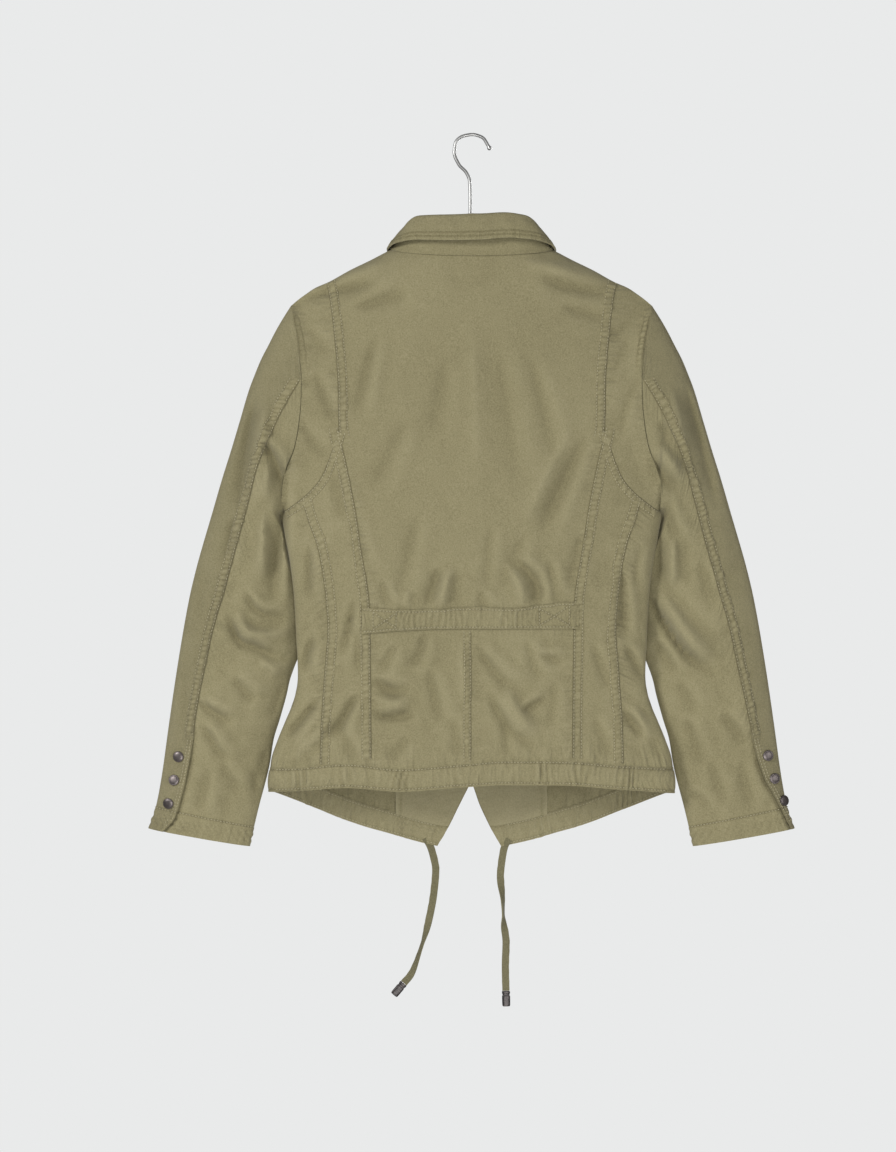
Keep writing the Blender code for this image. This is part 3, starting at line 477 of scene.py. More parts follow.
# Creases of the back and of the sleeves behind
backCreases = (
    # over the left shoulder
    (-3.4, 11, -193, -183, -150, -171, -100, -164), (-2.4, 11, -126, -191, -73, -176), (1.4, 12, -150, -150, -96, -142),
    (-2.2, 9, -102, -218, -111, -241, -127, -309), (-2.8, 9, -174, -259, -163, -285, -150, -323),
    (-2.2, 8, -190, -312, -176, -336, -162, -356), (-1.6, 9, -184, -214, -170, -224, -160, -246),
    (-1.3, 7, -186, -232, -172, -236), (-1.8, 8, -186, -271, -176, -275),
    # over the right shoulder
    (-3.2, 12, 76, -159, 117, -171, 154, -178), (-2.0, 11, 100, -190, 150, -204), (1.5, 11, 60, -142, 120, -152),
    (-1.5, 12, 63, -246, 78, -300, 92, -368), (-1.1, 15, 29, -238, 50, -395), (-1.4, 9, 170, -222, 156, -262),
    (-1.8, 8, 184, -262, 166, -300, 160, -340), (-1.5, 9, 172, -205, 150, -228),
    # shoulder blades to the waist
    (-1.6, 13, -72, -312, -90, -350, -112, -392), (-2.2, 10, -151, -373, -140, -424), (-1.8, 9, -128, -420, -118, -480),
    (-2.4, 11, 124, -330, 100, -384, 72, -440), (1.6, 13, 104, -326, 80, -376, 56, -430),
    (-1.6, 12, 56, -440, 30, -500), (-1.4, 14, -30, -250, -44, -330), (1.2, 16, 0, -220, 6, -380),
    (-1.5, 11, -60, -420, -80, -500), (-1.6, 10, 118, -440, 106, -500), (-1.2, 9, 20, -430, 14, -500),
    (-3.0, 9, -35, -474, -42, -496, -50, -519), (2.0, 9, -22, -474, -30, -500, -36, -518),
    (-3.0, 8, 50, -466, 74, -492, 68, -520), (2.6, 9, 38, -470, 56, -500, 54, -518), (-1.6, 8, 84, -468, 92, -512),
    (-1.8, 7, -98, -490, -92, -518), (-1.5, 7, 10, -500, 12, -518), (1.3, 7, -70, -500, -72, -518),
    # under the half belt
    (-2.0, 8, -51, -545, -57, -571, -72, -584), (-2.6, 9, -107, -596, -79, -616), (-3.0, 8, -109, -631, -96, -639, -62, -634),
    (2.2, 9, -104, -618, -70, -622), (-2.2, 9, -46, -588, -36, -642), (-1.8, 8, -84, -560, -100, -590),
    (-2.8, 9, 4, -560, 22, -586, 44, -612), (-2.8, 9, 17, -609, 31, -637, 48, -659, 72, -671), (2.0, 9, 34, -600, 54, -640, 74, -656),
    (-1.8, 8, 35, -642, 39, -682), (-1.6, 8, 60, -556, 72, -596), (-1.5, 9, 90, -600, 84, -650), (-1.3, 8, -20, -640, -14, -684),
    (-1.6, 9, -70, -660, -90, -684), (1.6, 10, -12, -560, -6, -620),
    (-2.4, 6, 56, -631, 82, -617), (-1.8, 6, 74, -571, 98, -577), (-3.0, 6, -129, -510, -134, -540, -143, -574),
    # side panels
    (-4.0, 8, -172, -549, -180, -565, -187, -591), (-4.0, 7, -126, -614, -152, -660),
    (-4.6, 7, -166, -617, -186, -640, -206, -664),
    (2.6, 8, -152, -640, -196, -682), (-2.4, 8, -128, -540, -122, -590), (-2.2, 9, -142, -650, -130, -684),
    (-3.6, 8, 164, -476, 167, -551), (-4.0, 8, 167, -559, 178, -578, 192, -601), (-3.8, 8, 166, -631, 187, -660),
    (2.6, 8, 178, -630, 200, -664), (-1.8, 8, 132, -560, 150, -606), (-1.6, 9, 134, -640, 150, -682),
    (-3.2, 8, -178, -452, -180, -510), (-1.8, 8, 184, -452, 176, -500), (-1.4, 8, 190, -640, 208, -690),
    # left sleeve
    (-4.5, 11, -236, -285, -246, -330, -258, -412), (2.2, 9, -224, -300, -230, -350),
    (-4.8, 8, -232, -334, -214, -357, -205, -390), (2.8, 9, -222, -362, -226, -400),
    (-5.2, 8, -207, -374, -207, -430, -218, -468, -218, -518), (3.4, 9, -228, -418, -229, -484),
    (3.4, 7, -257, -520, -247, -545, -218, -549, -195, -539), (-4.8, 7, -268, -527, -257, -557, -238, -562, -214, -574),
    (-3.2, 7, -250, -500, -236, -526, -204, -530), (2.4, 9, -232, -576, -210, -590),
    (-3.0, 8, -300, -622, -284, -634, -262, -646), (-2.8, 8, -296, -646, -284, -668, -270, -690),
    (-3.0, 8, -226, -676, -233, -712), (-2.2, 8, -240, -700, -232, -740), (-2.4, 9, -262, -596, -240, -622),
    (-2.0, 9, -276, -690, -256, -722), (-2.4, 8, -276, -236, -262, -290), (-2.4, 9, -262, -420, -272, -470),
    (-2.2, 9, -206, -600, -220, -640), (-2.0, 8, -290, -700, -300, -740),
    # right sleeve
    (-3.8, 9, 193, -350, 208, -374, 224, -393), (2.6, 9, 206, -342, 228, -372), (-3.2, 9, 234, -271, 250, -330, 268, -407),
    (2.0, 10, 218, -280, 236, -350), (-3.0, 9, 212, -404, 222, -450), (-3.6, 9, 206, -430, 206, -490), (2.4, 9, 222, -440, 220, -500),
    (-6.0, 7, 196, -509, 224, -555, 240, -575, 268, -594), (3.4, 9, 208, -502, 238, -546, 264, -572),
    (-2.8, 9, 204, -556, 222, -590), (-2.8, 9, 276, -636, 300, -668), (-2.2, 9, 236, -640, 250, -690),
    (-2.0, 9, 262, -690, 276, -730), (-1.9, 9, 296, -690, 306, -740), (-2.0, 10, 226, -600, 246, -636), (-2.2, 9, 206, -316, 216, -340),
    (-2.0, 9, 250, -470, 262, -510), (-1.8, 8, 240, -720, 262, -740), (-2.2, 8, 262, -236, 276, -280),
)
frontCreases = (
    (-3.2, 12, -170, -190, -92, -165), (-3.2, 12, 90, -168, 165, -188), (-3.4, 14, -120, -330, -92, -380, -70, -420),
    (-3.4, 14, 118, -318, 90, -360, 66, -402), (-3.4, 12, -150, -500, -146, -590), (-3.2, 12, 148, -490, 152, -600),
    (-3.4, 13, -90, -560, -60, -650), (-3.2, 13, 70, -570, 110, -660), (2.2, 13, -100, -330, -50, -420),
    (2.2, 12, 96, -300, 50, -396), (-2.4, 10, -120, -520, -40, -540), (-2.4, 10, 36, -520, 120, -536),
    (-2.2, 11, -60, -240, -110, -300), (-2.2, 11, 60, -236, 116, -290), (-2.0, 10, -170, -640, -200, -690),
    (-2.0, 10, 170, -640, 204, -690), (-3.4, 10, -250, -540, -206, -560), (-3.4, 10, 228, -500, 270, -560),
    (-3.2, 10, -290, -600, -250, -640), (-3.2, 10, 240, -400, 262, -470), (-3.0, 9, -240, -380, -215, -420),
    (-2.8, 10, -270, -450, -228, -490), (-2.8, 9, 210, -340, 236, -380), (-2.6, 9, -300, -690, -256, -700),
    (-2.6, 9, 262, -640, 312, -660), (-2.4, 9, 250, -700, 300, -730), (2.0, 10, 214, -540, 262, -580),
)


def crumple(x, z, seed):
    # Slack of washed cloth, from hand-sized to finger-sized
    slack = 0.55 + 0.6 * ease(-z, 430, 520) + 0.8 * ease(np.abs(x), 120, 165)
    creases = np.abs(unevenness(x, z * 0.8, 48, seed + 3)) ** 0.7
    return slack * (1.1 * unevenness(x, z, 62, seed) + 0.7 * unevenness(x, z * 0.7, 27, seed + 1)
                    + 0.34 * unevenness(x, z, 12, seed + 2) + 1.1 * creases - 0.55)


def foldsAt(x, z, side, seed=3):
    # Height of the folds behind (side -1) or before
    if side < 0:
        return foldLook["behind"] * creased(backCreases, x, z) + crumple(x, z, seed)
    return foldLook["before"] * creased(frontCreases, x, z) + crumple(x, z, seed + 8)


def sleeveFolds(x, z, side, deepest):
    # Where they are deep they flatten out, clear of the cloth on the other side of the sleeve
    folds = foldLook["sleeve"] * foldsAt(x, z, side, 5)
    deepest = np.maximum(deepest, 0.1)
    return np.where(folds < 0, deepest * np.tanh(folds / deepest), folds)


def paintedFoldShade(folds):
    # Painted shade: hollows of the folds are a little darker, and a painted highlight makes their crests paler
    return np.clip(0.06 * folds, -0.5, 0.28)


def neckZ(x, side):
    low = bodyShape["neckBack"] if side < 0 else bodyShape["neckFront"]
    roundOff = np.sqrt(np.clip(1 - (x / bodyShape["neckHalf"]) ** 2, 0, 1))
    return low + (bodyShape["neckSide"] - low) * (1 - roundOff)


def topZ(x, side):
    half = np.abs(x)
    return np.where(half < bodyShape["neckHalf"], neckZ(half, side), smooth(shoulderLine, "x", "z", half))


def bodyY(x, z, side):
    # The cloth of the back (side -1) or of a front (side 1) over the point x, z
    shape = bodyShape
    half = np.abs(x)
    share = np.clip(half / smooth(edgeLine, "z", "x", z), 0, 1)
    full = smooth(depthTable, "z", "back" if side < 0 else "front", z)
    middle, reach = (shape["armTop"] + shape["armLow"]) / 2, (shape["armTop"] - shape["armLow"]) / 2
    blunt = 0.5 + 1.3 * np.clip((1 - share) / 0.1, 0, 1)
    oval = np.clip(1 - ((z - middle) / reach) ** 2, 0, 1) ** blunt
    hole = oval * (shape["armBack"] if side < 0 else shape["armFront"])
    crown = (1 - share ** 3) ** (0.5 + 0.5 * ease(z, shape["armLow"], shape["armLow"] + 60))
    drop = np.clip((smooth(shoulderLine, "x", "z", half) - z) / shape["ridge"], 0, 1)
    ridge = np.sqrt(1 - (1 - drop) ** 2)
    deep = hole + (full * ridge - hole) * crown
    lean = shape["sideLean"] * share ** 6 * ease(-z, -shape["armLow"] - 10, -shape["armLow"] + 40)
    folds = foldsAt(x, z, side)
    return side * (deep + folds * np.minimum(crown ** 0.7, ridge)) + lean


def backAt(x, z):
    return np.stack([x, bodyY(x, z, -1), z + 0 * x], axis=-1)


def frontOf(hand):
    def surface(half, z):
        over = bodyShape["lapRise"] * (1 - ease(half, 30, 75)) if hand > 0 else 0 * half
        x = hand * half
        return np.stack([x, bodyY(x, z, 1) + over, z + 0 * x], axis=-1)
    return surface


def turnOf(x, z):
    return np.sqrt(np.clip(1 - x / smooth(edgeLine, "z", "x", z), 0, None))


def sideOf(hand):
    # The body by its turn round the side fold: -1 is the middle of the back, 1 of the front
    def surface(turn, z):
        x = hand * smooth(edgeLine, "z", "x", z) * (1 - turn ** 2)
        y = np.where(turn < 0, bodyY(x, z, -1), bodyY(x, z, 1))
        return np.stack([x, y, z + 0 * x], axis=-1)
    return surface


# Sleeves

sleeveShape = {"innerLag": 1.4, "frontSeam": -0.75, "ventTop": 0.815, "ventLap": 0.34, "capFade": 0.27,
               "tuckDepth": 7.0, "tuckAir": 2.6, "pitch": 3.0}
sleeveOut = table("z x", (-186.2, 198), (-197, 205), (-213, 214.5), (-230, 223.3), (-246, 231.6),
                  (-263, 238.7), (-279, 244.8), (-312, 254.7), (-345, 264.6), (-378, 275), (-411, 284.6),
                  (-477, 303.6), (-510, 311.3), (-576, 322.9), (-642, 332.8), (-708, 342.1), (-741, 348.7),
                  (-762, 356))
sleeveIn = table("z x y", (-413, 209.6, 0), (-425, 210.4, 1), (-440, 207.5, 3), (-460, 203.7, 6),
                 (-480, 200.7, 10), (-500, 197.5, 14), (-520, 195, 17), (-540, 193.5, 19), (-560, 194, 19),
                 (-576, 197.5, 18), (-609, 203, 17), (-642, 211.8, 16), (-664, 218.5, 16), (-692, 223, 15),
                 (-741, 235.4, 14), (-782, 245, 13))
sleeveTable = table("v thick outY left right", (0, 28, 0, 0.27, 0.27), (0.1, 27, 1, 0.27, 0.27),
                    (0.25, 24, 3, 0.30, 0.30), (0.5, 20, 5, 0.43, 0.43), (0.75, 16.5, 6, 0.49, 0.50),
                    (0.82, 15.3, 6.8, 0.49, 0.54), (0.895, 14.3, 7, 0.505, 0.645),
                    (0.93, 13.9, 7.2, 0.525, 0.77), (0.97, 13.6, 7.6, 0.56, 0.88), (1, 13.5, 8, 0.70, 0.92))


def pathOf(rows, v):
    # A point at share v of the way along an outline, by length
    far = np.concatenate([[0], np.cumsum(np.hypot(np.diff(rows["x"]), np.diff(rows["z"])))])
    named = dict(rows, far=far / far[-1])
    return [smooth(named, "far", key, v) for key in rows if key != "far"]


def sleeveOf(hand):
    # A sleeve by its angle, 0 on the outer edge and growing over the back, and its share of length
    def surface(angle, v):
        outZ, outX = pathOf(sleeveOut, v)
        inZ, inX, inY = pathOf(sleeveIn, np.clip(v, 0, 1) ** sleeveShape["innerLag"])
        hidden = ease(-inZ, 413, 440) * (1 - ease(-inZ, 560, 606))
        inX = inX - sleeveShape["tuckDepth"] * hidden
        along = np.cos(angle)
        x = (outX + inX) / 2 + (outX - inX) / 2 * along
        z = (outZ + inZ) / 2 + (outZ - inZ) / 2 * along
        thick = smooth(sleeveTable, "v", "thick", v)
        outY = smooth(sleeveTable, "v", "outY", v)
        y = outY + (inY - outY) * (1 - along) / 2 - thick * np.sin(angle)
        cap = 1 - ease(v, 0, sleeveShape["capFade"])
        top, low = bodyShape["armTop"], bodyShape["armLow"]
        capZ = (top + low) / 2 + (top - low) / 2 * along
        straight = 203.5 - 5.5 * along
        x = x + cap * (smooth(edgeLine, "z", "x", capZ) + 0.3 - straight)
        roundHole = np.where(np.sin(angle) > 0, bodyShape["armBack"], bodyShape["armFront"])
        y = y - cap * (roundHole - sleeveTable["thick"][0]) * np.sin(angle)
        behind = np.clip(1.7 * np.sin(angle), 0, 1)
        before = np.clip(-1.7 * np.sin(angle), 0, 1)
        settled = ease(v, 0, 0.1) * (1 - 0.7 * ease(v, 0.93, 1))
        deepest = 0.62 * thick * np.abs(np.sin(angle))
        y = y - settled * behind * sleeveFolds(hand * x, z, -1, deepest)
        y = y + settled * before * sleeveFolds(hand * x, z, 1, deepest)
        # Where the sleeve passes behind the side fold it keeps clear of the body's front
        wide = smooth(edgeLine, "z", "x", z)
        front = bodyY(hand * np.minimum(x, wide - 0.3), z, 1) + sleeveShape["tuckAir"]
        limit = front - 2.5 * np.clip(x - wide, 0, None)
        reach = ease(-z, 411, 420) * (1 - ease(-z, 640, 670)) * (x < wide + 9)
        y = np.where(reach > 0, np.maximum(y, limit * reach + y * (1 - reach)), y)
        return np.stack([hand * x, y, z], axis=-1)
    return surface


def backSeam(v, name):
    return np.arccos(smooth(sleeveTable, "v", name, v))


# Making meshes from surfaces

def facingOf(surface, p, q, sign, nudge=(0.5, 0.5)):
    # Unit normals of a surface, on the side that sign says
    across = surface(p + nudge[0], q) - surface(p - nudge[0], q)
    along = surface(p, q + nudge[1]) - surface(p, q - nudge[1])
    facing = np.cross(across, along)
    facing /= np.maximum(np.linalg.norm(facing, axis=-1, keepdims=True), 1e-9)
    return facing * sign


def gridNormals(points):
    facing = np.cross(np.gradient(points, axis=1), np.gradient(points, axis=0))
    return facing / np.maximum(np.linalg.norm(facing, axis=2, keepdims=True), 1e-9)


def gridPiece(name, points, outward, thick=None, material=twill, marks=None, soft=60, plumb=False):
    # A grid laid on the points, with a map in metres along the cloth, then given its wall
    rows, columns = points.shape[:2]
    deselectAll()
    bpy.ops.mesh.primitive_grid_add(x_subdivisions=columns - 1, y_subdivisions=rows - 1, size=1)
    piece = bpy.context.object
    piece.name = piece.data.name = name
    mesh = piece.data
    mesh.vertices.foreach_set("co", (points * mm).ravel())
    if np.sum(gridNormals(points) * outward) < 0:
        bpy.ops.object.mode_set(mode="EDIT")
        bpy.ops.mesh.select_all(action="SELECT")
        bpy.ops.mesh.flip_normals()
        bpy.ops.object.mode_set(mode="OBJECT")
    stepU = np.linalg.norm(np.diff(points, axis=1), axis=2)
    stepV = np.linalg.norm(np.diff(points, axis=0), axis=2)
    u = np.concatenate([np.zeros((rows, 1)), np.cumsum(stepU, axis=1)], axis=1)
    u -= u[:, columns // 2, None]
    v = np.concatenate([np.zeros((1, columns)), np.cumsum(stepV, axis=0)], axis=0)
    if plumb:
        # The grain of a body piece hangs upright, whatever the cut of its edges
        u, v = points[..., 0], points[..., 2]
    corners = np.empty(len(mesh.loops), int)
    mesh.loops.foreach_get("vertex_index", corners)
    flat = np.stack([u.ravel(), v.ravel()], axis=1) * mm
    mesh.uv_layers[0].data.foreach_set("uv", flat[corners].ravel())
    for label in ("pucker", "gather", "wear_and_shade"):
        values = np.zeros((rows, columns)) if marks is None or label not in marks else marks[label]
        attribute = mesh.attributes.new(label, "FLOAT", "POINT")
        attribute.data.foreach_set("value", np.broadcast_to(values, (rows, columns)).astype(np.float32).ravel())
    mesh.update()
    mesh.materials.append(material)
    if thick:
        bpy.ops.object.modifier_add(type="SOLIDIFY")
        solid = piece.modifiers[-1]
        solid.thickness = thick * mm
        solid.offset = -1
        bpy.ops.object.modifier_apply(modifier=solid.name)
    bpy.ops.object.shade_smooth_by_angle(angle=math.radians(soft))
    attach(piece, "root")
    return piece


def between(columns, rows, left, right, top, low):
    # Points x, z that fill the space between four lines, each given for half widths
    u, v = np.meshgrid(columns, rows)
    z = top(np.full_like(u, 100.0)) * (1 - v) + low(np.full_like(u, 100.0)) * v
    for _ in range(30):
        x = left(z) * (1 - u) + right(z) * u
        z = top(x) * (1 - v) + low(x) * v
    return x, z


def steps(length, pitch=None):
    return int(round(length / (pitch or bodyShape["pitch"]))) + 1


def fromRidge(length, pitch):
    # Shares of a length that crowd where the cloth rolls over the shoulder
    ridge = bodyShape["ridge"]
    rolled = ridge * (1 - np.cos(np.linspace(0, math.pi / 2, 16)[:-1]))
    return np.concatenate([rolled, np.linspace(ridge, length, steps(length - ridge, pitch))]) / length


def nearness(distance, reach):
    return np.exp(-(distance / reach) ** 2)


def wearAndHollowShadeOf(points, outward):
    # Ridges of the cloth are washed paler, and painted shade darkens its hollows
    smoothed = points.copy()
    for _ in range(3):
        smoothed[1:-1, 1:-1] = (smoothed[:-2, 1:-1] + smoothed[2:, 1:-1] + smoothed[1:-1, :-2] + smoothed[1:-1, 2:]) / 4
    proud = np.sum((points - smoothed) * outward, axis=2)
    return np.clip(proud * 0.5, -0.16, 0.16)


def clothPiece(name, surface, p, q, sign, nudge=(0.5, 0.5), lift=0.0, thick=None, marks=None, **options):
    # One cut piece of the surface's cloth, which takes the place of its solid
    facing = facingOf(surface, p, q, sign, nudge)
    points = surface(p, q) + facing * np.asarray(lift)[..., None]
    marks = dict(marks or {})
    # Every piece gets paler washed ridges and painted shade in its hollows
    marks["wear_and_shade"] = marks.get("wear_and_shade", 0) + wearAndHollowShadeOf(points, facing)
    piece = gridPiece(name + "_cloth", points, facing, thick or bodyShape["cloth"], marks=marks, **options)
    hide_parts(name)


# Seams and stitches

seamLook = {"bandWide": 12.0, "bandHigh": 0.9, "ladderPitch": 5.9, "ladderHigh": 1.7, "across": 1.1, "along": 1.0}
stitchLook = {"pitch": 3.5, "long": 2.5, "radius": 0.46, "lift": 0.28, "sides": 5}
sewn = {}


def alongPath(surface, p, q, pitch, ends=0.0):
    # The path's p and q at even steps of its length
    points = surface(p, q)
    far = np.concatenate([[0], np.cumsum(np.linalg.norm(np.diff(points, axis=0), axis=1))])
    at = np.arange(ends, far[-1] - ends, pitch)
    return np.interp(at, far, p), np.interp(at, far, q), at


def beside(surface, p, q, sign, away, nudge=(0.5, 0.5)):
    # A path moved sideways over its surface; a path that runs down the back moves towards +X
    facing = facingOf(surface, p, q, sign, nudge)
    run = np.gradient(surface(p, q), axis=0)
    run /= np.linalg.norm(run, axis=-1, keepdims=True)
    side = np.cross(facing, run) * np.reshape(away, (-1, 1))
    byP = (surface(p + nudge[0], q) - surface(p - nudge[0], q)) / (2 * nudge[0])
    byQ = (surface(p, q + nudge[1]) - surface(p, q - nudge[1])) / (2 * nudge[1])
    a, b, c = (np.sum(m * n, axis=-1) for m, n in ((byP, byP), (byP, byQ), (byQ, byQ)))
    d, e = np.sum(byP * side, axis=-1), np.sum(byQ * side, axis=-1)
    scale = a * c - b * b
    return p + (d * c - e * b) / scale, q + (e * a - d * b) / scale


def ladder(s, u, seed):
    # Ridges of a puckered seam, unevenly spaced, wide and high
    phase = s / seamLook["ladderPitch"] + 0.8 * unevenness(s, 0 * s, 21, seed)
    number = np.floor(phase)
    chance = np.random.RandomState(seed).uniform(0, 1, (3, 401))[:, number.astype(int) % 401]
    start, end, high = 0.3 * chance[0] - 0.15, 1.12 - 0.4 * chance[1], 0.4 + 0.8 * chance[2]
    window = ease(u, start, start + 0.2) * (1 - ease(u, end - 0.22, end))
    return np.sin(math.pi * (phase - number)) ** 1.3 * window * high


def seamBand(name, surface, p, q, sign, wide, seed, nudge=(0.5, 0.5), high=1.0, fade=(0, 0)):
    # The folded allowance of a felled seam: a puckered band on one side of the seam's line
    p, q, s = alongPath(surface, p, q, seamLook["along"])
    count = int(abs(wide) / seamLook["across"]) + 1
    columns = [beside(surface, p, q, sign, np.full(len(p), wide * share), nudge) for share in even(count)]
    gridP = np.stack([column[0] for column in columns], axis=1)
    gridQ = np.stack([column[1] for column in columns], axis=1)
    u = even(count)[None, :]
    along = s[:, None]
    slant = along + 2.6 * u * np.sign(wide) + 1.2 * unevenness(along, u * 12, 9, seed + 2)
    ridges = ladder(slant, u + 0 * along, seed)
    lift = seamLook["bandHigh"] * (1 - ease(u, 0.72, 1.0) * 1.1) * (0.55 + 0.45 * ease(u, 0, 0.12))
    lift = (lift + seamLook["ladderHigh"] * ridges) * high
    ends = ease(along, 0, 3 + fade[0]) * (1 - ease(along, s[-1] - 3 - fade[1], s[-1]))
    lift = lift * (0.15 + 0.85 * ends) - 0.12
    facing = facingOf(surface, gridP, gridQ, sign, nudge)
    points = surface(gridP, gridQ) + facing * lift[..., None]
    # Painted shade: the ladder's valleys are darker and its ridges paler, with a dark line along the seam's folded edge
    # and dark grooves along both rows of stitches
    rows = nearness(u * abs(wide) - 1.6, 0.9) + nearness(u * abs(wide) - abs(wide) + 1.8, 0.9)
    shade = np.clip((ridges - 0.42) * 1.2 * high, -0.55, 0.35)
    marks = {"wear_and_shade": (shade - 0.9 * (u < 0.02) - 0.5 * rows) * ends}
    band = gridPiece(name, points, facing, 0.8, marks=marks)
    return band


def sewLine(group, surface, p, q, sign, nudge=(0.5, 0.5), away=0.0, lift=0.0, pitch=None):
    # Adds a row of stitches to a group of sewing
    if away:
        p, q = beside(surface, p, q, sign, np.full(len(p), away), nudge)
    p, q, s = alongPath(surface, p, q, pitch or stitchLook["pitch"], 1.2)
    if len(p) < 3:
        return
    facing = facingOf(surface, p, q, sign, nudge)
    points = surface(p, q) + facing * (stitchLook["lift"] + lift)
    run = np.gradient(points, axis=0)
    run /= np.linalg.norm(run, axis=1, keepdims=True)
    sewn.setdefault(group, []).append((points, run, facing))


def sewnPiece(group):
    # All stitches of a group as one mesh: short threads that dip into the cloth at both ends
    spots, runs, ups = (np.concatenate(parts) for parts in zip(*sewn[group]))
    sides = np.cross(ups, runs)
    sides /= np.linalg.norm(sides, axis=1, keepdims=True)
    look = stitchLook
    corners, count = [], look["sides"]
    for share, size, dip in ((-0.5, 0, -0.45), (-0.34, 0.9, -0.02), (0, 1.0, 0.12), (0.34, 0.9, -0.02), (0.5, 0, -0.45)):
        ring = spots + runs * share * look["long"] + ups * dip
        for turn in np.arange(count if size else 1) * 2 * math.pi / count:
            corners.append(ring + (sides * math.cos(turn) + ups * math.sin(turn)) * look["radius"] * size)
    perStitch = len(corners)
    verts = np.stack(corners, axis=1).reshape(-1, 3)
    faces = []
    for k in range(count):
        n = (k + 1) % count
        faces.append((0, 1 + n, 1 + k))
        for ring in (0, 1):
            base = 1 + ring * count
            faces.append((base + k, base + n, base + count + n, base + count + k))
        base = 1 + 2 * count
        faces.append((base + k, base + n, perStitch - 1))
    deselectAll()
    mesh = bpy.data.meshes.new(group)
    every = [tuple(corner + perStitch * number for corner in face) for number in range(len(spots)) for face in faces]
    mesh.from_pydata((verts * mm).tolist(), [], every)
    piece = bpy.data.objects.new(group, mesh)
    bpy.context.scene.collection.objects.link(piece)
    bpy.context.view_layer.objects.active = piece
    piece.select_set(True)
    mesh.materials.append(thread)
    bpy.ops.object.shade_smooth()
    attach(piece, "root")
    return piece


# The back

def princess(z):
    return smooth(princessLine, "z", "x", z)


def sideBack(z):
    return smooth(sideBackLine, "z", "x", z)


def hemTop(side, hand):
    if side < 0:
        return lambda x: smooth(hemBackLine, "x", "top", hand * x)
    return lambda x: smooth(hemFrontLine, "x", "z", x) + bodyShape["hemDeep"]


def edgeOf(z):
    return smooth(edgeLine, "z", "x", z)


def seamMarks(x, z):
    # How strongly the cloth is puckered beside the seams of the back, and the painted shade and highlight of the back's
    # folds
    half = np.abs(x)
    reach = 13.0
    pucker = nearness(half - princess(z), reach)
    pucker = np.maximum(pucker, nearness(half - sideBack(z), reach) * (z < -400))
    pucker = np.maximum(pucker, 0.8 * nearness(half, reach) * (z < -545))
    pucker = np.maximum(pucker, 0.9 * nearness(half - edgeOf(z), 11) * (z > -413))
    low = smooth(hemBackLine, "x", "top", x)
    gather = nearness(z - low, 20)
    gather = np.maximum(gather, 0.7 * nearness(z - bodyShape["waist"], 20) * (half < 118))
    return {"pucker": pucker, "gather": gather, "wear_and_shade": paintedFoldShade(foldsAt(x, z, -1))}


def backPieces():
    shape = bodyShape
    p, q = between(even(steps(290)), fromRidge(397, shape["pitch"]), lambda z: -princess(z), princess,
                   lambda x: topZ(x, -1), lambda x: shape["waist"] + 0 * x)
    clothPiece("back_centre", backAt, p, q, 1, plumb=True, marks=seamMarks(p, q))
    armTop, armLow = shape["armTop"], shape["armLow"]
    for name, hand in hands:
        low = hemTop(-1, hand)
        x, z = between(even(steps(110)), even(steps(158)), lambda z: 0 * z, princess,
                       lambda x: shape["waist"] + 0 * x, low)
        clothPiece("back_lower_" + name, backAt, hand * x, z, 1, plumb=True, marks=seamMarks(x * hand, z))
        rows = (1 - np.cos(np.linspace(0, math.pi, 86))) / 2
        x, z = between(even(20), rows, princess, edgeOf, lambda x: smooth(shoulderLine, "x", "z", x),
                       lambda x: smooth(yokeLine, "x", "z", x))
        clothPiece("shoulder_side_" + name, backAt, hand * x, z, 1, plumb=True, marks=seamMarks(x * hand, z))
        x, z = between(even(16), even(steps(290)), princess, sideBack, lambda x: smooth(yokeLine, "x", "z", x), low)
        clothPiece("side_back_" + name, backAt, hand * x, z, 1, plumb=True, marks=seamMarks(x * hand, z))


def sideFront(z):
    # Seam between the side panel and a front, just before the side fold
    low = -bodyShape["armLow"]
    return edgeOf(z) - 0.3 - 22 * ease(-z, low, low + 150)


def sidePieces():
    columns, rows = np.meshgrid(even(34), even(steps(281)))
    for name, hand in hands:
        z = bodyShape["armLow"] - rows * 281
        for _ in range(30):
            edge = edgeOf(z)
            back = -turnOf(sideBack(z), z)
            turn = back * (1 - columns) + turnOf(sideFront(z), z) * columns
            half = edge * (1 - turn ** 2)
            top = np.where(turn < 0, smooth(yokeLine, "x", "z", half), bodyShape["armLow"])
            low = np.where(turn < 0, hemTop(-1, hand)(half), hemTop(1, hand)(half))
            z = top * (1 - rows) + low * rows
        marks = seamMarks(hand * half, z)
        marks["pucker"] = marks["pucker"] * (turn < 0)
        clothPiece("side_" + name, sideOf(hand), turn, z, hand, (0.004, 0.5), marks=marks)


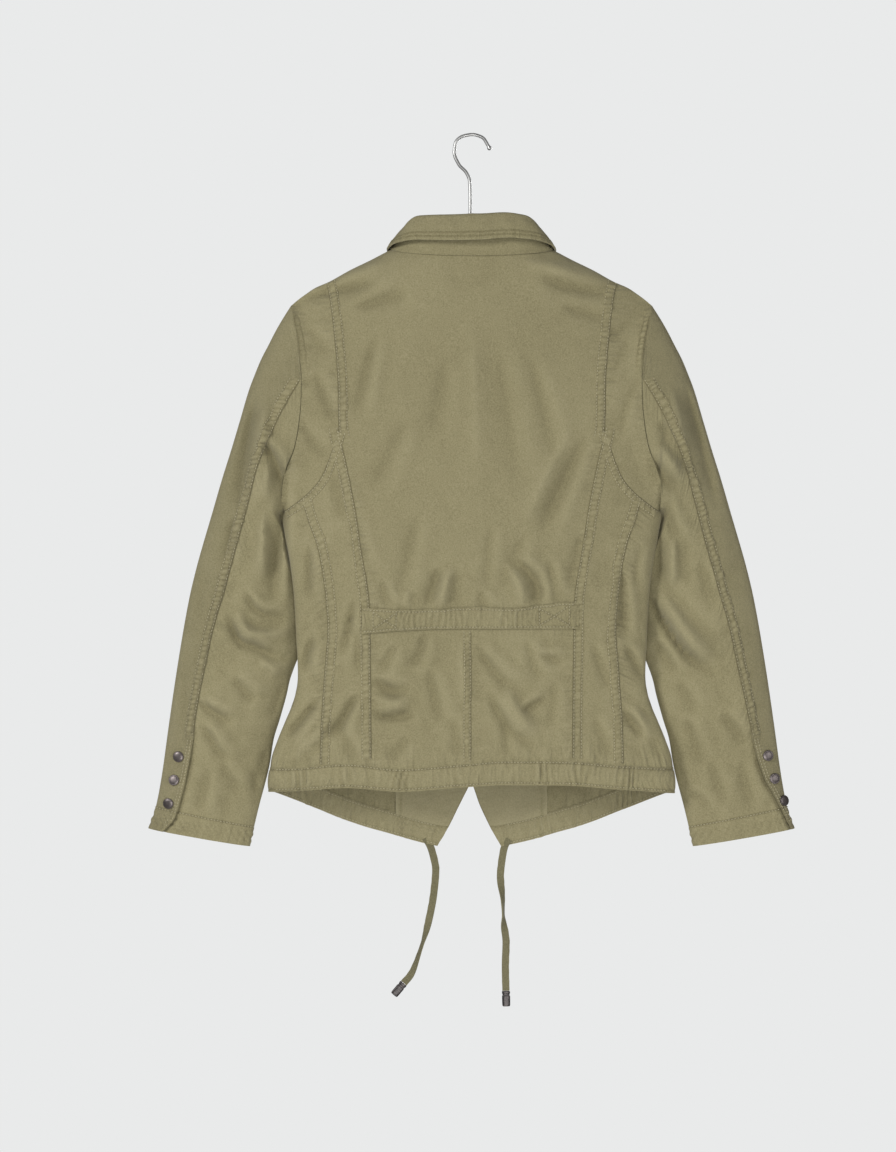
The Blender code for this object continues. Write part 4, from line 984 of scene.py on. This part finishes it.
def backSeams():
    wide = seamLook["bandWide"]
    for name, hand in hands:
        # Above the side panel's corner the allowance lies towards the centre, below it outwards
        z = np.linspace(-163, -334, 400)
        x = hand * princess(z)
        seamBand(f"seam_shoulder_{name}", backAt, x, z, 1, -hand * 11.5, 21 + hand, high=0.7, fade=(0, 9))
        sewLine("back_sewing", backAt, x, z, 1, away=-hand * 1.6, lift=0.62)
        sewLine("back_sewing", backAt, x, z, 1, away=-hand * 10.0, lift=0.30)
        z = np.linspace(-322, -684, 800)
        x = hand * princess(z)
        seamBand(f"seam_princess_{name}", backAt, x, z, 1, hand * wide, 31 + hand, high=0.62)
        sewLine("back_sewing", backAt, x, z, 1, away=hand * 1.6, lift=0.62)
        sewLine("back_sewing", backAt, x, z, 1, away=hand * (wide - 1.8), lift=0.25)
        z = np.linspace(-400, -690, 700)
        x = hand * sideBack(z)
        seamBand(f"seam_side_{name}", backAt, x, z, 1, -hand * wide, 41 + hand, high=0.65)
        sewLine("back_sewing", backAt, x, z, 1, away=-hand * 1.6, lift=0.55)
        sewLine("back_sewing", backAt, x, z, 1, away=-hand * (wide - 1.8), lift=0.25)
        half = np.linspace(146, 206, 200)
        z = smooth(yokeLine, "x", "z", half)
        seamBand(f"seam_yoke_{name}", backAt, hand * half, z, 1, -hand * 10.0, 51 + hand, high=0.6)
        sewLine("back_sewing", backAt, hand * half, z, 1, away=-hand * 1.6, lift=0.45)
        sewLine("back_sewing", backAt, hand * half, z, 1, away=-hand * 8.2, lift=0.3)
        z = np.linspace(-192, -268, 200)
        x = hand * (edgeOf(z) - 0.4)
        seamBand(f"seam_armhole_{name}", backAt, x, z, 1, -hand * 8.0, 57 + hand, high=0.6 + 0.25 * hand,
                 fade=(12, 30))
    z = np.linspace(-544, -686, 300)
    x = 0 * z - 0.5
    seamBand("seam_centre", backAt, x, z, 1, -9.5, 61, high=0.6)
    sewLine("back_sewing", backAt, x, z, 1, away=-1.5, lift=0.5)
    sewLine("back_sewing", backAt, x, z, 1, away=-8.0, lift=0.25)


backPieces()
sidePieces()
backSeams()
print("back: panels and felled seams")


# The fronts, their facings and the hem

def frontPieces():
    shape = bodyShape
    for name, hand in hands:
        def inside(z):
            return hand * smooth(frontEdge, "z", name, z)

        def outside(z):
            return np.where(z > shape["armLow"], edgeOf(z), sideFront(z))

        surface = frontOf(hand)
        x, z = between(even(54), fromRidge(600, 4.0), inside, outside, lambda x: topZ(np.maximum(x, 0), 1),
                       lambda x: hemTop(1, hand)(x))
        gather = nearness(z - hemTop(1, hand)(x), 20)
        pucker = np.maximum(nearness(x - edgeOf(z), 12), nearness(x - inside(z) - 4, 10))
        # The fronts carry painted shade in the hollows of their folds and a painted highlight on their crests
        clothPiece("front_" + name, surface, x, z, -hand, plumb=True,
                   marks={"pucker": pucker, "gather": gather, "wear_and_shade": paintedFoldShade(foldsAt(hand * x, z, 1))})
        x, z = between(even(26), fromRidge(580, 4.0), lambda z: inside(z) + 1.0, lambda z: 0 * z + 84 + inside(z) * 0,
                       lambda x: topZ(np.maximum(x, 0), 1) - 0.6, lambda x: hemTop(1, hand)(x) - 1.2)
        # Painted light brightens the facing inside the front, with a painted highlight along its edge and a painted
        # shadow line beside it
        clothPiece("facing_" + name, surface, x, z, -hand, lift=-1.9, thick=1.1, plumb=True,
                   marks={"pucker": 0.12, "wear_and_shade": 0.7 + 0.5 * nearness(x - 84, 2.5) - 0.8 * nearness(x - 79, 1.5)})
        lines = np.linspace(0.02, 0.98, 500)
        top, low = topZ(np.array(0.0), 1), float(hemTop(1, hand)(np.array(30.0)))
        z = top + (low - top) * lines
        sewLine("front_sewing", surface, inside(z) + 5, z, -hand)
        sewLine("front_sewing", surface, inside(z) + 34, z, -hand)


def hemPieces():
    close = 0.004
    count = steps(470, 1.25)
    u, v = np.meshgrid(np.linspace(-1, 1, count), even(30))
    turn = 1 - np.abs(u) * (1 - close)
    z = np.full_like(u, -700.0)
    for _ in range(20):
        x = np.sign(u) * edgeOf(z) * (1 - turn ** 2)
        z = smooth(hemBackLine, "x", "top", x) * (1 - v) + smooth(hemBackLine, "x", "low", x) * v
    lift = casingGathers(x, v, 71) + 0.5 - 0.5 * nearness(v - 0.085, 0.05) - 0.4 * nearness(v - 0.9, 0.05)
    # The casing's gathers get a painted highlight on their crests and painted shade in their hollows, over its stitch
    # lines and worn edges, and the casing is a little darker overall
    clothPiece("hem_back", backAt, x, z, 1, lift=lift, thick=bodyShape["double"],
               marks={"gather": 0.9, "wear_and_shade": casingLines(v) + 0.14 * lift - 0.12})
    x = np.linspace(-214, 214, 900)
    top, low = smooth(hemBackLine, "x", "top", x), smooth(hemBackLine, "x", "low", x)
    sewLine("hem_sewing", backAt, x, top - 2.0, 1, lift=0.45)
    sewLine("hem_sewing", backAt, x, low + 2.6, 1, lift=0.45)
    for name, hand in hands:
        v, u = np.meshgrid(even(17), even(steps(225, 1.5)), indexing="ij")
        z = np.full_like(u, -740.0)
        for _ in range(40):
            near = turnOf(hand * smooth(frontEdge, "z", name, z), z)
            half = edgeOf(z) * (1 - (near * (1 - u) + close * u) ** 2)
            z = hemTop(1, hand)(half) - v * bodyShape["hemDeep"]
        lift = casingGathers(half * hand, v, 77) * 0.6
        # Painted light brightens the front casing seen inside the jacket, and its gathers get a painted highlight on
        # their crests and painted shade in their hollows
        clothPiece("hem_front_" + name, frontOf(hand), half, z, -hand, lift=lift, thick=bodyShape["double"],
                   marks={"gather": 0.8, "wear_and_shade": casingLines(v) + 0.14 * lift + 0.15})
        surface = frontOf(hand)
        half = np.linspace(40, 214, 500)
        top = hemTop(1, hand)(half)
        for inner in (0, 1):
            # The same two lines of stitches show inside and out
            lift = -bodyShape["double"] - 0.1 if inner else 0.0
            sewLine("hem_sewing", surface, half, top - 2.2, -hand, lift=lift)
            sewLine("hem_sewing", surface, half, top - bodyShape["hemDeep"] + 2.6, -hand, lift=lift)


def casingLines(v):
    # Painted shade darkens the grooves along the casing's rows of stitches, and its folded edges are worn pale
    return 0.35 * (v < 0.03) + 0.3 * (v > 0.97) - 0.75 * nearness(v - 0.085, 0.04) - 0.65 * nearness(v - 0.9, 0.04)


gatherClusters = table("x wide high", (-189, 9, 1.2), (-139, 8, 0.8), (-79, 10, 1.6), (76, 9, 1.4),
                       (119, 9, 0.8), (170, 13, 1.0), (-20, 9, 0.5))


def casingGathers(x, v, seed):
    # Upright gathers of a corded casing, fuller in clusters
    strength = 0.06 + 0.2 * np.abs(unevenness(x, 0 * x, 26, seed + 2))
    for spot, wide, high in zip(*gatherClusters.values()):
        strength = strength + high * nearness(x - spot, wide)
    lean = 1.5 * unevenness(x, v * 9, 30, seed)
    wave = np.sin(2 * math.pi * (x + lean * v * 2) / 7.3 + 5 * unevenness(x, v * 14, 18, seed + 1))
    body = np.sin(math.pi * np.clip(v, 0, 1)) ** 0.5
    plump = 1.1 * np.sin(math.pi * v)
    sharp = np.sign(wave) * np.abs(wave) ** 0.7
    return plump + strength * sharp * (0.35 + 0.65 * body) * 0.95


frontPieces()
hemPieces()
print("fronts, facings and hem casings")


# Half belt

beltShape = {"lift": 3.0, "thick": 1.9, "boxes": ((-107, -82), (73, 106))}
beltLine = table("x top low", (-120, -518, -547), (-79, -520.6, -543), (-40, -520, -541.5), (0, -518, -541),
                 (42, -519, -541), (75, -516, -541), (104, -512.5, -541), (116, -513.5, -541))


def halfBelt():
    x, v = np.meshgrid(np.linspace(-120, 116, steps(236, 1.2)), even(24))
    z = smooth(beltLine, "x", "top", x) * (1 - v) + smooth(beltLine, "x", "low", x) * v
    calm = 0 * x
    for left, right in beltShape["boxes"]:
        calm = np.maximum(calm, ease(x, left - 4, left) * (1 - ease(x, right, right + 4)))
    wave = np.sin(2 * math.pi * x / 5.8 + 3.4 * unevenness(x, z, 16, 81))
    gathers = (1 - 0.75 * calm) * wave * (0.42 + 0.5 * unevenness(x, 0 * x, 22, 83)) + 0.7 * unevenness(x, z, 19, 85)
    rim = ease(v, 0, 0.08) * (1 - ease(v, 0.92, 1)) * ease(x, -120, -117) * (1 - ease(x, 113, 116))
    sewnLines = np.maximum(nearness(v - 0.09, 0.035), nearness(v - 0.91, 0.035))
    for left, right in beltShape["boxes"]:
        u = (x - left) / (right - left)
        boxed = (u > -0.04) & (u < 1.04)
        drawn = np.maximum(nearness(v - 0.14 - 0.72 * u, 0.05), nearness(v - 0.86 + 0.72 * u, 0.05))
        drawn = np.maximum(drawn, np.maximum(nearness(u, 0.045), nearness(u - 1, 0.045)))
        sewnLines = np.maximum(sewnLines, drawn * boxed)
    lift = beltShape["lift"] - 0.5 + 0.7 * rim + gathers * np.sin(math.pi * v) ** 0.6
    # Painted shade darkens the stitched lines and the hollows of the gathers, with a painted highlight on their crests;
    # the belt's edges are worn pale
    clothPiece("belt", backAt, x, z, 1, lift=lift, thick=beltShape["thick"],
               marks={"gather": 1 - 0.5 * calm, "wear_and_shade": 0.35 * (1 - rim) + 0.2 * gathers - 0.7 * sewnLines})
    line = np.linspace(0, 1, 300)
    over = beltShape["lift"] + 0.2
    whole = -120 + 2.2 + line * (236 - 4.4)
    for edge, inset in (("top", -2.0), ("low", 2.0)):
        sewLine("belt_sewing", backAt, whole, smooth(beltLine, "x", edge, whole) + inset, 1, lift=over)
    for left, right in beltShape["boxes"]:
        def height(x, share):
            high, low = smooth(beltLine, "x", "top", x) - 3.5, smooth(beltLine, "x", "low", x) + 3.5
            return high * (1 - share) + low * share

        for x, share in ((left + 0 * line, line), (right + 0 * line, line), (left + (right - left) * line, line),
                         (left + (right - left) * line, 1 - line)):
            sewLine("belt_sewing", backAt, x, height(x, share), 1, lift=over)


halfBelt()
print("half belt")


# Collar

collarShape = {"thick": 1.9, "seamRise": -0.5, "rowStitch": (3.9, 7.7)}
collarTable = table("turn roll_x roll_y roll_z edge_x edge_y edge_z", (0, 0, -3, 43, 0, -5, -27.5),
                    (40, -1, -1, 39.5, 4, -6, -25.5), (65, -8, 3, 26, 11, -7, -19),
                    (90, -11, 8, 13.5, 11.5, -1, -13.5), (120, -9, 11, 22, 30, 8, -22),
                    (150, -5, 11, 25, 42, 8, -38), (174, -1, 11, 28, 44, 6, -54))


def neckLine(turn):
    x = bodyShape["neckHalf"] * np.sin(turn)
    behind = np.abs(turn) < math.pi / 2
    z = np.where(behind, neckZ(x, -1), neckZ(x, 1))
    y = np.where(behind, bodyY(x, z, -1), bodyY(x, z, 1))
    y = y + bodyShape["lapRise"] * ease(np.abs(turn), math.pi / 2, math.pi * 0.8)
    return np.stack([x, y, z + collarShape["seamRise"]], axis=-1)


def collarOffset(turn, part):
    degrees = np.degrees(np.abs(turn))
    x = np.sign(turn) * smooth(collarTable, "turn", part + "_x", degrees)
    z = smooth(collarTable, "turn", part + "_z", degrees)
    if part == "roll":
        # The hanging collar is pushed up a little right of its middle
        z = z + 2.6 * nearness(np.degrees(turn) - 24, 15)
    return np.stack([x, smooth(collarTable, "turn", part + "_y", degrees), z], axis=-1)


def standAt(turn, v):
    seam = neckLine(turn)
    roll = seam + collarOffset(turn, "roll")
    return seam * (1 - v[..., None]) + roll * v[..., None]


def fallAt(turn, v):
    # From the roll line, at 0, to the free edge, at 1
    roll = neckLine(turn) + collarOffset(turn, "roll")
    drop = collarOffset(turn, "edge")
    out = drop * (1, 1, 0)
    out = out / np.linalg.norm(out, axis=-1, keepdims=True)
    up = np.array([0, 0, 1.0])
    v = v[..., None]
    bend = np.clip(v / 0.16, 0, 1)
    start = roll + out * 0.8 + up * 0.6
    shoulder = roll + out * 2.4 - up * 1.3
    rolled = start + (shoulder - start) * bend ** 1.3 + out * 1.0 * np.sin(math.pi / 2 * bend)
    rest = np.clip((v - 0.16) / 0.84, 0, 1)
    lower = shoulder + out * 1.0 + (roll + drop + out * 2.2 - shoulder) * rest + out * 1.6 * np.sin(math.pi * rest)
    return np.where(v < 0.16, rolled, lower)


def collarPieces():
    turns = np.radians(np.linspace(-174, 174, 300))
    turn, v = np.meshgrid(turns, even(16))
    # A painted shadow line runs along the stand just above the neck seam
    clothPiece("collar_stand", standAt, turn, v, -1, (0.004, 0.02), thick=collarShape["thick"],
               marks={"pucker": 0.25, "gather": 0.1, "wear_and_shade": -0.6 * nearness(v - 0.03, 0.03)})
    turn, v = np.meshgrid(turns, np.concatenate([np.linspace(0, 0.16, 8)[:-1], np.linspace(0.16, 1, 34)]))
    waves = 0.6 * unevenness(np.degrees(turn) * 1.6, v * 30, 14, 91) * ease(v, 0.1, 0.3)
    rim = ease(v, 0.9, 1.0)
    pulled = 0.45 * nearness(v - 0.86, 0.03) + 0.45 * nearness(v - 0.73, 0.03)
    # Painted shade darkens the grooves along the two rows of stitches; the folded edge is worn pale and the cloth is
    # paler along the roll
    clothPiece("collar_fall", fallAt, turn, v, 1, (0.004, 0.02), lift=waves - 0.4 * rim - pulled, thick=collarShape["thick"],
               marks={"pucker": 0.1, "gather": 0.12 + 0.5 * ease(v, 0.6, 0.9),
                      "wear_and_shade": 0.4 * (v > 0.985) + 0.12 * nearness(v - 0.1, 0.06)
                      - 0.9 * nearness(v - 0.86, 0.022) - 0.9 * nearness(v - 0.73, 0.022)})
    line = np.linspace(-172, 172, 1200)
    turn = np.radians(line)
    edge = fallAt(turn, np.ones(len(turn)))
    roll = fallAt(turn, np.full(len(turn), 0.16))
    deep = np.linalg.norm(edge - roll, axis=1)
    for inset in collarShape["rowStitch"]:
        share = 1 - inset / deep * 0.84
        sewLine("collar_sewing", fallAt, turn, share, 1, (0.004, 0.02))
    sewLine("collar_sewing", standAt, turn, np.full(len(turn), 0.07), -1, (0.004, 0.02))


collarPieces()
print("collar")


# Sleeves with their vents

def cuffHem(angle, v):
    # The turned hem of a cuff stands a little proud, and its stitches pull slanting puckers in it
    across = 50 * np.cos(angle)
    wave = np.sin(2 * math.pi * (across / 6.8 + 60 * v) + 3 * unevenness(across, 300 * v, 14, 111))
    return 0.5 * ease(v, 0.9585, 0.9625) + 0.6 * wave * ease(v, 0.961, 0.975) * (1 - ease(v, 0.985, 1))


def sleeveShade(surface, angle, v):
    # Painted shade and highlight of the sleeve's folds, and a painted shadow line under the edge of the cuff's turned
    # hem
    points = surface(angle, v)
    x, z = points[..., 0], points[..., 2]
    turned = ease(np.sin(angle), -0.2, 0.2)
    behind, before = (paintedFoldShade(sleeveFolds(x, z, side, 9.0)) for side in (-1, 1))
    return behind * turned + before * (1 - turned) - 0.9 * nearness(v - 0.9585, 0.0022)


def sleevePieces():
    shape = sleeveShape
    rows = np.concatenate([np.linspace(0, 0.06, 12)[:-1], np.linspace(0.06, 0.948, steps(532, shape["pitch"]))[:-1],
                           np.linspace(0.948, 0.968, 16)[:-1], np.linspace(0.968, 1, 12)])
    frontAngle = math.acos(shape["frontSeam"])
    upperShare = np.concatenate([np.linspace(-1, 0, 34), np.linspace(0, 1, 32)[1:]])
    underShare = np.concatenate([[0, 0.012, 0.03], np.linspace(0.05, 1, 34), np.linspace(1, 2, 14)[1:]])
    for name, hand in hands:
        surface = sleeveOf(hand)
        share, v = np.meshgrid(upperShare, rows)
        seam = backSeam(v, name)
        angle = -share * np.where(share < 0, seam, frontAngle)
        away = np.abs(angle - seam) * 50
        vent = ease(v, shape["ventTop"], shape["ventTop"] + 0.02)
        pucker = nearness(away, 12) * (1 - vent) * 0.7 + nearness(v, 0.02) * 0.4
        flap = (0.5 + 0.9 * vent * nearness(share + 1, 0.35)) * nearness(share + 1, 0.6)
        # A painted shadow line runs along the vent flap's free edge
        shade = sleeveShade(surface, angle, v) - 0.4 * vent * nearness(share + 1, 0.02)
        clothPiece("sleeve_upper_" + name, surface, angle, v, hand, (0.004, 0.002), lift=flap * vent + cuffHem(angle, v),
                   marks={"pucker": pucker, "gather": 0.5 * nearness(v - 1, 0.05), "wear_and_shade": shade})
        share, v = np.meshgrid(underShare, rows)
        start = backSeam(v, name)
        angle = np.where(share < 1, start + (math.pi - start) * share,
                         math.pi + (math.pi - frontAngle) * (share - 1))
        lapped = ease(v, shape["ventTop"], shape["ventTop"] + 0.05)
        angle = angle - shape["ventLap"] * lapped * (1 - ease(share, 0, 0.03))
        tuck = 1.9 * ease(v, shape["ventTop"] - 0.03, shape["ventTop"]) * (1 - ease(share, 0.012, 0.05))
        away = np.abs(angle - start) * 50
        # The vent flap throws a painted shadow on the under sleeve beside its edge
        shade = sleeveShade(surface, angle, v) - 1.5 * nearness(away, 3.6) * lapped
        clothPiece("sleeve_under_" + name, surface, angle, v, hand, (0.004, 0.002), lift=cuffHem(angle, v) - tuck,
                   marks={"pucker": 0.55 * nearness(away, 10) * (1 - lapped), "gather": 0.5 * nearness(v - 1, 0.05),
                          "wear_and_shade": shade})
        # Felled back seam, down to the vent
        v = np.linspace(0.004, shape["ventTop"] - 0.004, 900)
        seam = backSeam(v, name)
        seamBand(f"seam_sleeve_{name}", surface, seam, v, hand, hand * seamLook["bandWide"], 101 + hand, (0.004, 0.002))
        for inset, high in ((1.6, 0.62), (10.2, 0.25)):
            sewLine("sleeve_sewing_" + name, surface, seam, v, hand, (0.004, 0.002), hand * inset, high)
        # Vent flap and cuff hem
        v = np.linspace(shape["ventTop"] + 0.002, 0.992, 300)
        for inset in (2.0, 5.4):
            sewLine("sleeve_sewing_" + name, surface, backSeam(v, name), v, hand, (0.004, 0.002), hand * inset, 1.2)
        corner = float(backSeam(np.array(0.9585), name))
        for angle, high in ((np.linspace(corner + 0.05, math.pi - 0.06, 200), 0),
                            (np.linspace(corner - 0.12, -frontAngle, 300), 0.3)):
            sewLine("sleeve_sewing_" + name, surface, angle, 0.9585 + 0 * angle, hand, (0.004, 0.002), lift=high)
        sewnPiece("sleeve_sewing_" + name)


sleevePieces()
for group in ("back_sewing", "front_sewing", "hem_sewing", "belt_sewing", "collar_sewing"):
    sewnPiece(group)
print("sleeves and sewing")


# Snaps

snapShape = {
    "sides": 40, "cuffShares": (0.856, 0.901, 0.945), "frontHeights": (-238, -346, -454, -562, -668),
    # radius and height of the cap's profile, from the cloth up
    "profile": ((5.5, -0.5), (5.7, 0.1), (5.95, 0.4), (5.9, 0.85), (5.6, 1.15), (5.2, 1.22), (4.95, 1.15),
                (4.75, 1.2), (4.3, 1.45), (3.4, 1.62), (2.2, 1.74), (1.0, 1.8)),
}


def turnedSnap(name):
    # A cap turned up from a circle, ring by ring
    profile = snapShape["profile"]
    deselectAll()
    bpy.ops.mesh.primitive_circle_add(vertices=snapShape["sides"], radius=profile[0][0] * mm, fill_type="NGON")
    snap = bpy.context.object
    snap.name = snap.data.name = name
    bpy.ops.object.mode_set(mode="EDIT")
    bpy.ops.mesh.select_all(action="SELECT")
    for (radius, height), (wider, higher) in zip(profile, profile[1:]):
        bpy.ops.mesh.extrude_region_move(TRANSFORM_OT_translate={"value": (0, 0, (higher - height) * mm)})
        scale = wider / radius
        bpy.ops.transform.resize(value=(scale, scale, 1), center_override=(0, 0, 0))
    bpy.ops.mesh.select_all(action="SELECT")
    bpy.ops.mesh.normals_make_consistent(inside=False)
    bpy.ops.object.mode_set(mode="OBJECT")
    snap.data.materials.append(gunmetal)
    bpy.ops.object.shade_smooth_by_angle(angle=math.radians(50))
    return snap


def placeSnap(master, name, spot, axis):
    # A copy of the cap, stood on the cloth
    deselectAll()
    snap = master.copy()
    snap.data = master.data.copy()
    snap.name = snap.data.name = name + "_cap"
    bpy.context.scene.collection.objects.link(snap)
    axis = axis / np.linalg.norm(axis)
    side = np.cross((0.0, 0.0, 1.0), axis)
    side /= np.linalg.norm(side)
    frameOf = np.stack([side, np.cross(axis, side), axis], axis=1)
    corners = np.empty(len(snap.data.vertices) * 3)
    snap.data.vertices.foreach_get("co", corners)
    placed = corners.reshape(-1, 3) @ frameOf.T + spot * mm
    snap.data.vertices.foreach_set("co", placed.ravel())
    snap.data.update()
    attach(snap, "root")
    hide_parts(name)


def snaps():
    master = turnedSnap("snapMaster")
    for name, hand in hands:
        surface = sleeveOf(hand)
        for number, v in enumerate(snapShape["cuffShares"], 1):
            angle, v = backSeam(np.array([v]), name) - 0.28, np.array([v])
            axis = facingOf(surface, angle, v, hand, (0.06, 0.006))[0]
            spot = surface(angle, v)[0] + axis * 1.2
            placeSnap(master, f"cuff_snap_{name}_{number}", spot, axis)
    for number, z in enumerate(snapShape["frontHeights"], 1):
        spot = frontOf(1)(np.array([0.0]), np.array([float(z)]))[0]
        placeSnap(master, f"front_snap_{number}", spot + (0, 0.4, 0), np.array([0, 1.0, 0]))
    bpy.data.objects.remove(master, do_unlink=True)


snaps()
print("snaps")


# Drawcords with their tips

cordShape = {"wide": 8.0, "thick": 1.3, "stations": 130}
cordPaths = {
    # the points of each free end as in the solids, after a start hidden in the casing, then its twist
    # in degrees at shares of the length
    "left": (table("x y z", (-51, 31.7, -775), (-45.7, 33, -784.2), (-42, 33.5, -796), (-39.5, 34, -810), (-41.5, 34, -835),
                   (-48, 33.5, -870), (-58.5, 33, -905), (-66.6, 33, -926), (-75, 33, -936.5)),
             table("share turn", (0, -25), (0.3, 5), (0.55, 20), (0.72, 70), (0.82, 60), (1, 10))),
    "right": (table("x y z", (41.5, 35, -776.5), (37, 36, -785.6), (34.5, 36.5, -798), (32.5, 37, -818), (35.2, 37, -845),
                    (36, 37, -868), (38.8, 37, -892), (38, 36.5, -918), (38.6, 36, -945.5)),
              table("share turn", (0, 30), (0.25, -5), (0.4, -60), (0.5, -75), (0.62, -20), (1, 5))),
}
tipShape = {"wide": 9.0, "deep": 3.2, "long": 17.0}


def evenPath(rows, count):
    points = np.stack(list(rows.values()), axis=1)
    far = np.concatenate([[0], np.cumsum(np.linalg.norm(np.diff(points, axis=0), axis=1))])
    named = dict(rows, far=far)
    at = np.linspace(0, far[-1], count)
    return np.stack([smooth(named, "far", key, at) for key in rows], axis=1), far[-1]


def sweptPiece(name, centres, radii, material, node, sides=24, flat=(1.0, 1.0), lead=(0, 1, 0)):
    # A tube of changing radius whose ends run to a point
    run = np.gradient(centres, axis=0)
    run /= np.linalg.norm(run, axis=1, keepdims=True)
    across = np.cross(run, lead)
    across /= np.linalg.norm(across, axis=1, keepdims=True)
    up = np.cross(across, run)
    turn = np.linspace(0, 2 * math.pi, sides + 1)[None, :, None]
    ring = np.cos(turn) * across[:, None] * flat[0] + np.sin(turn) * up[:, None] * flat[1]
    points = centres[:, None] + ring * np.asarray(radii)[:, None, None]
    piece = gridPiece(name, points, ring, None, material, soft=50)
    deselectAll()
    piece.select_set(True)
    bpy.context.view_layer.objects.active = piece
    bpy.ops.object.mode_set(mode="EDIT")
    bpy.ops.mesh.select_all(action="SELECT")
    bpy.ops.mesh.remove_doubles(threshold=0.00001)
    bpy.ops.mesh.normals_make_consistent(inside=False)
    bpy.ops.object.mode_set(mode="OBJECT")
    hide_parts(node)
    return piece


def drawcords():
    for name, (route, twist) in cordPaths.items():
        centres, length = evenPath(route, cordShape["stations"])
        run = np.gradient(centres, axis=0)
        run /= np.linalg.norm(run, axis=1, keepdims=True)
        share = even(len(centres))
        turn = np.radians(smooth(twist, "share", "turn", share))[:, None]
        flatWay = np.cross(run, (0, 1, 0))
        flatWay /= np.linalg.norm(flatWay, axis=1, keepdims=True)
        side = flatWay * np.cos(turn) + np.cross(run, flatWay) * np.sin(turn)
        ups = np.cross(side, run)
        across = np.linspace(-0.5, 0.5, 9)[None, :, None] * cordShape["wide"]
        points = centres[:, None] + side[:, None] * across
        edge = 1 - np.abs(np.linspace(-1, 1, 9)) ** 4
        weaveRipple = 0.16 * np.sin(share * length / 1.5 * 2 * math.pi)[:, None] * edge[None]
        points = points + ups[:, None] * (cordShape["thick"] / 2 + weaveRipple)[..., None]
        cord = gridPiece("drawcord_" + name + "_tape", points, np.broadcast_to(ups[:, None], points.shape),
                         cordShape["thick"], tape)
        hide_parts("drawcord_" + name)
        # Flattened metal tip with a crimp and a rounded end
        aim = centres[-1] - centres[-3]
        aim /= np.linalg.norm(aim)
        along = np.array([0, 0.0, 0.25, 0.7, 2.2, 3.0, 3.4, 4.6, 5.0, 5.8, 12, 15, 16.3, 16.9, 17, 17])
        size = np.array([0, 0.86, 0.97, 1.0, 1.0, 0.94, 0.88, 0.88, 0.94, 1.0, 1.0, 0.98, 0.93, 0.8, 0.62, 0])
        spots = centres[-1] + aim * (along[:, None] + 0.3)
        deep = tipShape["deep"] / tipShape["wide"]
        fine = np.linspace(0, len(spots) - 1, 91)
        each = np.arange(len(spots))
        spots = np.stack([np.interp(fine, each, spots[:, axis]) for axis in range(3)], axis=1)
        radii = np.interp(fine, each, size) * tipShape["wide"] / 2
        tip = sweptTip("aglet_" + name + "_metal", spots, radii, aim, deep, "aglet_" + name)


def sweptTip(name, centres, radii, aim, deep, node):
    across = np.cross(aim, (0, 1, 0))
    across /= np.linalg.norm(across)
    up = np.cross(across, aim)
    turn = np.linspace(0, 2 * math.pi, 33)[None, :, None]
    square = 0.72
    wide = np.sign(np.cos(turn)) * np.abs(np.cos(turn)) ** square
    high = np.sign(np.sin(turn)) * np.abs(np.sin(turn)) ** square
    ring = wide * across * 1.0 + high * up * deep
    points = centres[:, None] + ring * radii[:, None, None]
    piece = gridPiece(name, points, np.broadcast_to(ring, points.shape), None, tipMetal, soft=50)
    bpy.ops.object.mode_set(mode="EDIT")
    bpy.ops.mesh.select_all(action="SELECT")
    bpy.ops.mesh.remove_doubles(threshold=0.00001)
    bpy.ops.mesh.normals_make_consistent(inside=False)
    bpy.ops.object.mode_set(mode="OBJECT")
    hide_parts(node)
    return piece


drawcords()
print("drawcords and their tips")


# Hook and hanger bar

hookShape = {"wire": 3.6, "tip": 5.2, "stations": 160}
hookLine = table("x z", (-1.5, -111.3), (-1.5, -66), (-2, -50), (-5.5, -40.5), (-14, -31), (-19, -18),
                 (-17.5, -7), (-9.5, 0), (1, 1.8), (12, -1.5), (18, -10), (21, -15.5))


def hookAndBar():
    flat = {"x": hookLine["x"], "y": 0 * hookLine["x"], "z": hookLine["z"]}
    centres, length = evenPath(flat, hookShape["stations"])
    top = cadBox[1][2] / mm
    centres[:, 2] += top - hookShape["wire"] / 2 - centres[:, 2].max()
    far = even(len(centres)) * length
    radii = np.full(len(centres), hookShape["wire"] / 2)
    fromTip = length - far
    ball = hookShape["tip"] / 2
    radii = np.where(fromTip < 2 * ball, np.sqrt(np.clip(ball ** 2 - (fromTip - ball) ** 2, 0, None)), radii)
    radii = np.where((fromTip >= ball) & (radii < hookShape["wire"] / 2), hookShape["wire"] / 2, radii)
    radii[0] = radii[-1] = 0
    sweptPiece("hook_wire", centres, radii, steel, "hanger_hook", 20)
    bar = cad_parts["hanger_bar"]
    for slot in bar.material_slots:
        slot.material = barMaterial()


hookAndBar()
print("hook and hanger bar")
